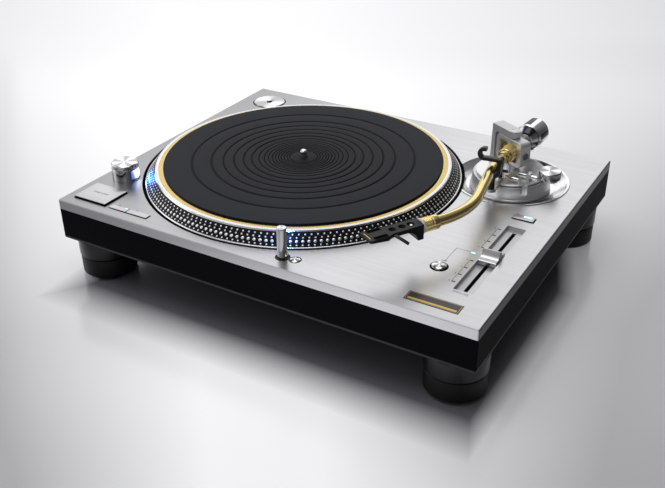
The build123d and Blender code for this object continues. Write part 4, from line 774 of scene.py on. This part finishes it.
join("platter_brass_top", [(turned(brass_profile, platter_place, 360), ring_wrap)], brass_finish, "platter",
     ["platter_top_ring"])
mat_top, mat_low = 15.0, 12.8
grooves = [(116.8, 3.4), (96.5, 3.4), (84.0, 2.2), (73.0, 2.2), (63.0, 2.2), (54.5, 2.8)]
grooves += [(radius, 1.2) for radius in (47.0, 41.5, 37.0, 33.0, 29.7, 26.5, 23.7, 20.5, 17.5, 14.8)]
mat_radius = np.unique(np.concatenate([
    [3.9, 145.2], *[radius + width * np.linspace(-0.6, 0.6, 11) for radius, width in grooves]]))
mat_height = np.full(len(mat_radius), mat_top)
for radius, width in grooves:
    mat_height -= 0.9 * np.clip(1.3 - np.abs(mat_radius - radius) / width * 2.6, 0.0, 1.0)
mat_surface = np.stack([mat_radius, mat_height], axis=-1)
edge = np.radians(np.linspace(90.0, 0.0, 6))
mat_edge = np.stack([145.5 + 0.9 * np.cos(edge), 14.1 + 0.9 * np.sin(edge)], axis=-1)
mat_profile = np.concatenate([[(3.9, mat_low)], mat_surface, mat_edge, [(146.4, mat_low)]])
mat_finish = Finish("mat_rubber_finish", specular_ior_level=0.14)
mat_x, mat_y, mat_z = mat_finish.place((*platter_place, 0.0))
mat_reach = (mat_x * mat_x + mat_y * mat_y) ** 0.5
mat_rings = mat_finish.maths("SINE", mat_reach * 2.6)
# Painted shade: the grooves are painted near black, and the mat's top is painted darker towards the middle.
mat_light = mat_finish.ramp(mat_z, 14.1, 14.95) * (0.55 + mat_finish.ramp(mat_reach, 20.0, 130.0) * 0.45)
mat_grain = mat_finish.noise(1.2, 3.0)
mat_colour = mat_finish.mix(mat_grain, (0.015, 0.016, 0.02), (0.022, 0.024, 0.03))
mat_finish.set(
    base_color=mat_finish.mix(mat_light, (0.002, 0.002, 0.003), mat_colour),
    roughness=0.55 + mat_grain * 0.12)
mat_finish.bump(mat_rings * 0.5 + mat_grain, 0.03)
join("mat_grooved", [(turned(mat_profile, platter_place, 360), ring_wrap)], mat_finish, "platter",
     ["platter_mat"])
dress("platter_damper", mat_finish)
spindle_profile = soften([
    (0, -34.3), (3.4, -34.3), (4.0, -33.7), (4.0, 10.8), (3.6, 11.1), (3.6, 21.3), (2.9, 22.5), (1.6, 23.3),
    (0, 23.5)], 0.3, closed=False)
join("spindle_turned", [(turned(spindle_profile, platter_place, 64), pole_wrap)], chrome_finish, "platter",
     ["spindle"])

# Arm base
# A polished dish let into the plate, cut back where the platter's well passes, and in it the
# ribbed height ring, the platform it lifts and the lock post behind.
arm_place = np.array([149.4, 84.6])
dish_profile = soften([
    (32.0, -10.0), (60.2, -10.0), (60.2, 0.6), (59.8, 0.9), (57.8, 0.9), (55.7, -0.6), (50.2, -3.8),
    (44.5, -6.5), (41.5, -7.0), (32.0, -7.0)], 0.8, 5)
dish = turned(dish_profile, arm_place, 256)
from_platter = dish[..., :2] - platter_place
distance = np.linalg.norm(from_platter, axis=-1, keepdims=True)
well_radius = 169.1
dish[..., :2] = platter_place + from_platter * np.maximum(1.0, well_radius / distance)
dish_finish = spun_painted_glint_finish("arm_dish_finish", arm_place, (0.6, 0.6, 0.61), (0.9, 0.9, 0.91), 2.0, 0.3, 0.16)
join("arm_dish_polished", [(dish, ring_wrap)], dish_finish, deck_body, ["arm_dish"])
ring_profile = soften([
    (30.1, -6.7), (41.0, -6.7), (41.0, -4.9), (40.3, -4.4), (38.7, 7.0), (38.2, 8.0), (30.1, 8.0)], 0.2)
ring_finish = Finish("height_ring_finish", metallic=1.0)
ring_x, ring_y, _ = ring_finish.place((*arm_place, 0.0))
ring_lines = ring_finish.add("ShaderNodeTexNoise", {"noise_dimensions": "1D"}, {
    "W": ring_finish.maths("ARCTAN2", ring_y, ring_x) * 60.0, "Scale": 1.0, "Detail": 3.0}).outputs[0]
ring_lines = Value(ring_finish, ring_lines)
ring_finish.set(base_color=ring_finish.mix(ring_lines, (0.56, 0.56, 0.575), (0.74, 0.74, 0.75)),
    roughness=0.34 + ring_lines * 0.1)
join("height_ring_turned", [(turned(ring_profile, arm_place, 256), ring_wrap)], ring_finish, "height_ring",
     ["height_ring"])
platform_finish = grained(
    "platform_finish", 0.5, (0.76, 0.76, 0.77), (0.88, 0.88, 0.89), 0.26, 0.1, metallic=1.0)
dress("arm_platform", platform_finish)
dress("height_lock", platform_finish)
dress("cue_lift", plastic_finish)
dress("cue_lever", chrome_finish)
dial_place = arm_place + (40.5, 0.0)
dial_profile = soften([
    (0, 8.5), (1.5, 8.5), (1.5, 11.3), (11.5, 11.3), (11.5, 18.5), (10.7, 19.3), (0, 19.1)], 0.3,
    closed=False)
join("anti_skate_knob", [(turned(dial_profile, dial_place, 96), pole_wrap)],
     spun_painted_glint_finish("anti_skate_finish", dial_place, (0.3, 0.3, 0.31), (0.93, 0.93, 0.94), 3.0, 0.6, 0.14),
     "anti_skate_dial", ["anti_skate_dial"])

# Yoke and gimbal
# Blasted aluminium castings: a column with a top bar, and the rounded frame that turns between
# its pivots, with a bearing screw on each side.
satin_finish = grained(
    "blasted_aluminium_finish", 3.5, (0.6, 0.6, 0.61), (0.72, 0.72, 0.73), 0.4, 0.1, relief=0.012,
    detail=3.0, metallic=0.75)
dress("yoke", satin_finish)
dress("gimbal_ring", satin_finish)
dress("gimbal_pivots", chrome_finish)
dress("bearing_screws", screw_finish)

# Tonearm
# A polished gold tube bent to an S, a gold bearing housing, and a ribbed gold collar that locks
# the headshell.
arm_height = 32.6
arm_front = np.array([np.sin(np.radians(-3.08)), -np.cos(np.radians(-3.08)), 0.0])


def stand(points, origin, axis, side=(0.0, 0.0, 1.0)):
    """Points with z laid along an axis and x towards a side, moved to an origin."""
    z = np.asarray(axis, float) / np.linalg.norm(axis)
    x = np.asarray(side, float) - np.dot(side, z) * z
    x /= np.linalg.norm(x)
    return points @ np.array([x, np.cross(z, x), z]) + origin


pivot = np.array([*arm_place, arm_height])
knots = np.cumsum([0.0, 34.2, 122.4 * np.radians(13.85), 49.5, 85.2 * np.radians(40.77), 21.1])
headings = np.radians([-3.08, -3.08, 10.77, 10.77, -30.0, -30.0])
tube_step = 0.75
tube_along = np.arange(0.0, knots[-1] + tube_step / 2, tube_step)
middle_heading = np.interp(tube_along + tube_step / 2, knots, headings)
tube_run = np.stack([np.sin(middle_heading), -np.cos(middle_heading), 0 * tube_along], axis=-1) * tube_step
tube_path = pivot + np.concatenate([np.zeros((1, 3)), np.cumsum(tube_run, axis=0)[:-1]])


def carried(path, section):
    """A closed section of across and up values carried along a level path: p + a side + u up."""
    along = np.gradient(path, axis=0)
    along /= np.linalg.norm(along, axis=1, keepdims=True)
    side = np.cross(along, (0.0, 0.0, 1.0))
    rise = np.cross(side, along)
    return path[:, None] + section[None, :, :1] * side[:, None] + section[None, :, 1:] * rise[:, None]


round_angle = np.linspace(0.0, 2 * np.pi, 48, endpoint=False)
tube_section = 5.0 * np.stack([np.cos(round_angle), np.sin(round_angle)], axis=-1)
gold_finish = grained(
    "gold_tube_finish", 0.2, (0.86, 0.66, 0.26), (0.95, 0.77, 0.36), 0.13, 0.06, metallic=1.0)
tube_grid = carried(tube_path[tube_along >= 20.0], tube_section)
join("arm_tube_gold", [(capped(tube_grid), strip_wrap)], gold_finish, "arm", ["arm_tube"])
housing_ribs = [(0.0, 24.0), (6.2, 24.0), (6.2, 19.5), (7.3, 19.5), (8.0, 18.8)]
for rib in np.arange(17.0, 1.0, -1.5):
    housing_ribs += [(8.0, rib + 0.5), (7.5, rib + 0.3), (7.5, rib - 0.1), (8.0, rib - 0.3)]
housing_ribs += [(8.0, -7.8), (7.3, -8.5), (0.0, -8.5)]
housing_grid = stand(turned(soften(housing_ribs, 0.12, 3, closed=False), steps=72), pivot, arm_front)
axle_axis = np.array([np.cos(np.radians(-30.0)), np.sin(np.radians(-30.0)), 0.0])
axle_profile = soften([
    (0, -17.0), (1.2, -17.0), (1.2, -13.2), (3.4, -13.2), (3.4, 13.2), (1.2, 13.2), (1.2, 17.0), (0, 17.0)],
    0.2, closed=False)
axle_grid = stand(turned(axle_profile, steps=48), pivot, axle_axis)
join("arm_housing_gold", [(housing_grid, pole_wrap), (axle_grid, pole_wrap)], gold_finish, "arm",
     ["arm_housing"])
stub_profile = soften([(0, -4.5), (4.2, -4.5), (4.2, -60.5), (3.7, -61.0), (0, -61.0)], 0.2, closed=False)
join("weight_stub_rod", [(stand(turned(stub_profile, steps=48), pivot, arm_front), pole_wrap)],
     platform_finish, "arm", ["weight_stub"])
sleeve_profile = soften([(4.25, -28.0), (7.0, -28.0), (7.0, -57.5), (4.25, -57.5)], 0.3)
join("weight_sleeve_turned", [(stand(turned(sleeve_profile, steps=64), pivot, arm_front), ring_wrap)],
     platform_finish, "weight_sleeve", ["weight_sleeve"])

# Counterweight
# A heavy chromed weight with a turned front face, screwed along the arm's rear end, and the force
# dial in front of it.
weight_profile = soften([
    (7.05, -36.0), (13.1, -36.0), (14.3, -37.2), (14.3, -58.8), (13.1, -60.0), (7.05, -60.0)], 0.25)
weight_finish = Finish("counterweight_finish", metallic=1.0)
weight_x, weight_y, weight_z = weight_finish.place((*arm_place, arm_height))
weight_across = weight_x * arm_front[1] * -1.0 + weight_y * arm_front[0]
weight_along = weight_x * -arm_front[0] + weight_y * -arm_front[1]
weight_reach = (weight_across * weight_across + weight_z * weight_z) ** 0.5
on_face = (weight_along < 36.1) * (weight_reach < 13.2)
# Painted highlight and reflection: bright and dark wedges on the front face, and dark stripes on the chrome
# side.
face_glint = weight_finish.painted_glint_sectors(weight_across, weight_z, 2.0, 2.6, 0.5, 1.0)
face_colour = weight_finish.mix(face_glint, (0.12, 0.12, 0.13), (0.55, 0.55, 0.56))
painted_reflection_streak = weight_finish.painted_glint_sectors(weight_across, weight_z, 4.0, 0.9, 0.45, 0.7) * (weight_along > 38.0)
side_colour = weight_finish.mix(painted_reflection_streak, (0.95, 0.95, 0.96), (0.02, 0.02, 0.025))
weight_finish.set(base_color=weight_finish.mix(on_face, side_colour, face_colour),
    roughness=0.06 + on_face * 0.2)
join("counterweight_turned", [(stand(turned(weight_profile, steps=128), pivot, arm_front), ring_wrap)],
     weight_finish, "counterweight", ["counterweight"])
force_profile = soften([
    (7.05, -28.2), (8.4, -28.2), (9.0, -28.6), (12.7, -35.3), (12.5, -35.7), (7.05, -35.7)], 0.15)
force_finish = Finish("force_dial_finish", metallic=1.0)
force_x, force_y, force_z = force_finish.place((*arm_place, arm_height))
force_across = force_x * -arm_front[1] + force_y * arm_front[0]
# Painted highlight: bright and dark wedges round the force dial.
force_glint = force_finish.painted_glint_sectors(force_across, force_z, 3.0, 0.6, -0.1, 0.7)
force_finish.set(base_color=force_finish.mix(force_glint, (0.05, 0.05, 0.055), (0.8, 0.8, 0.81)),
    roughness=0.16 + force_glint * 0.06)
join("force_dial_ring", [(stand(turned(force_profile, steps=96), pivot, arm_front), ring_wrap)], force_finish,
     "force_dial", ["force_dial"])

# Headshell
# A black plate with two slots, three holes, a finger lift and a gold line near its tip, held by
# the collar; a white washer seats it on the arm and a screw shows in the rear hole.
shell_axis = np.array([-0.5, -np.sqrt(0.75), 0.0])
shell_origin = tube_path[-1]
collar_ribs = [
    (5.05, -17.0), (5.7, -17.0), (6.7, -15.8), (6.7, -10.5), (6.1, -10.0), (6.1, -9.0), (6.9, -8.5)]
for rib in np.arange(-8.0, -1.6, 0.9):
    collar_ribs += [(6.9, rib), (6.6, rib + 0.2), (6.6, rib + 0.5), (6.9, rib + 0.7)]
collar_ribs += [(6.9, -1.0), (6.2, -0.3), (5.05, -0.3)]
join("locking_collar_ribbed", [(stand(turned(soften(collar_ribs, 0.08, 3), steps=72), shell_origin,
     shell_axis), ring_wrap)], gold_finish, "locking_collar", ["locking_collar"])
shell_finish = grained(
    "headshell_finish", 3.0, (0.008, 0.008, 0.009), (0.016, 0.016, 0.018), 0.34, 0.1, relief=0.008,
    specular_ior_level=0.18)
dress("headshell", shell_finish)
shell_across = np.array([-shell_axis[1], shell_axis[0], 0.0])


def on_shell(boxes, low, high):
    """Thin bars on the headshell's top, as (start, left, end, right) along and across it."""
    axes = np.array([shell_axis, shell_across, (0.0, 0.0, 1.0)])
    return [(grid @ axes + (*shell_origin[:2], 0.0), wrap) for grid, wrap in flat_boxes(boxes, low, high)]


# Painted shade: thin near-black bars along the edges of the headshell's slots.
slot_shade_bars = [(38.2, side - 0.45, 51.8, side + 0.45) for side in (-8.35, -4.35, 4.35, 8.35)]
join("headshell_slot_shade_bars", on_shell(slot_shade_bars, 37.75, 37.84), painted_shade_finish, "arm")
join("headshell_pinstripe", on_shell([(54.4, -5.6, 55.1, 5.6)], 37.75, 37.85), foil_finish, "arm")
screw_profile = soften([(0, 34.2), (1.6, 34.2), (1.6, 36.4), (1.2, 36.9), (0, 36.9)], 0.2, closed=False)
join("headshell_screw", [(turned(screw_profile, (shell_origin + shell_axis * 10.6)[:2], 32), pole_wrap)],
     chrome_finish, "arm")
washer_finish = Finish("washer_finish", roughness=0.45)
washer_grain = washer_finish.noise(1.0)
washer_finish.set(base_color=washer_finish.mix(washer_grain, (0.72, 0.72, 0.72), (0.85, 0.85, 0.85)))
washer_profile = soften([(5.1, 0.1), (7.2, 0.1), (7.2, 1.9), (5.1, 1.9)], 0.3)
join("headshell_washer", [(stand(turned(washer_profile, steps=48), shell_origin, shell_axis), ring_wrap)],
     washer_finish, "arm")


# Arm rest
# A black moulded cradle on a post, with a clamp that swings over the tube on a cross pin and ends
# in a curled tab for the finger.
rest_finish = grained(
    "arm_rest_finish", 1.6, (0.008, 0.008, 0.008), (0.015, 0.015, 0.016), 0.24, 0.1, specular_ior_level=0.5)
dress("arm_rest", rest_finish)
rest_place = tube_path[np.searchsorted(tube_along, 51.0)]
rest_turn = np.radians(4.784)
rest_ahead = np.array([np.sin(rest_turn), -np.cos(rest_turn), 0.0])
rest_axes = np.array([[np.cos(rest_turn), np.sin(rest_turn), 0.0], [0.0, 0.0, 1.0], rest_ahead])
curl = np.radians(np.linspace(270.0, 90.0, 22))
clamp_run = np.concatenate([
    np.column_stack([np.linspace(5.9, -7.4, 14), np.full(14, 9.9)]),
    np.column_stack([-8.5 + 5.0 * np.cos(curl), 14.5 + 5.0 * np.sin(curl)]), [(-7.8, 19.5), (-6.8, 19.5)]])
clamp_run = np.column_stack([clamp_run, np.zeros(len(clamp_run))])
clamp_section = soften([(-2.0, -2.8), (2.0, -2.8), (2.0, 2.8), (-2.0, 2.8)], 1.1)
clamp_grid = carried(clamp_run, clamp_section) @ rest_axes + rest_place
pin_profile = soften([
    (0, -4.4), (1.05, -4.4), (1.05, -2.7), (2.2, -2.7), (2.2, 2.7), (1.05, 2.7), (1.05, 4.4), (0, 4.4)],
    0.2, closed=False)
pin_grid = stand(turned(pin_profile, steps=32), rest_place + rest_axes[0] * 7.5 + rest_axes[1] * 9.9,
    rest_ahead)
join("rest_clamp_curled", [(capped(clamp_grid), strip_wrap), (pin_grid, pole_wrap)], rest_finish,
     "rest_clamp", ["rest_clamp"])
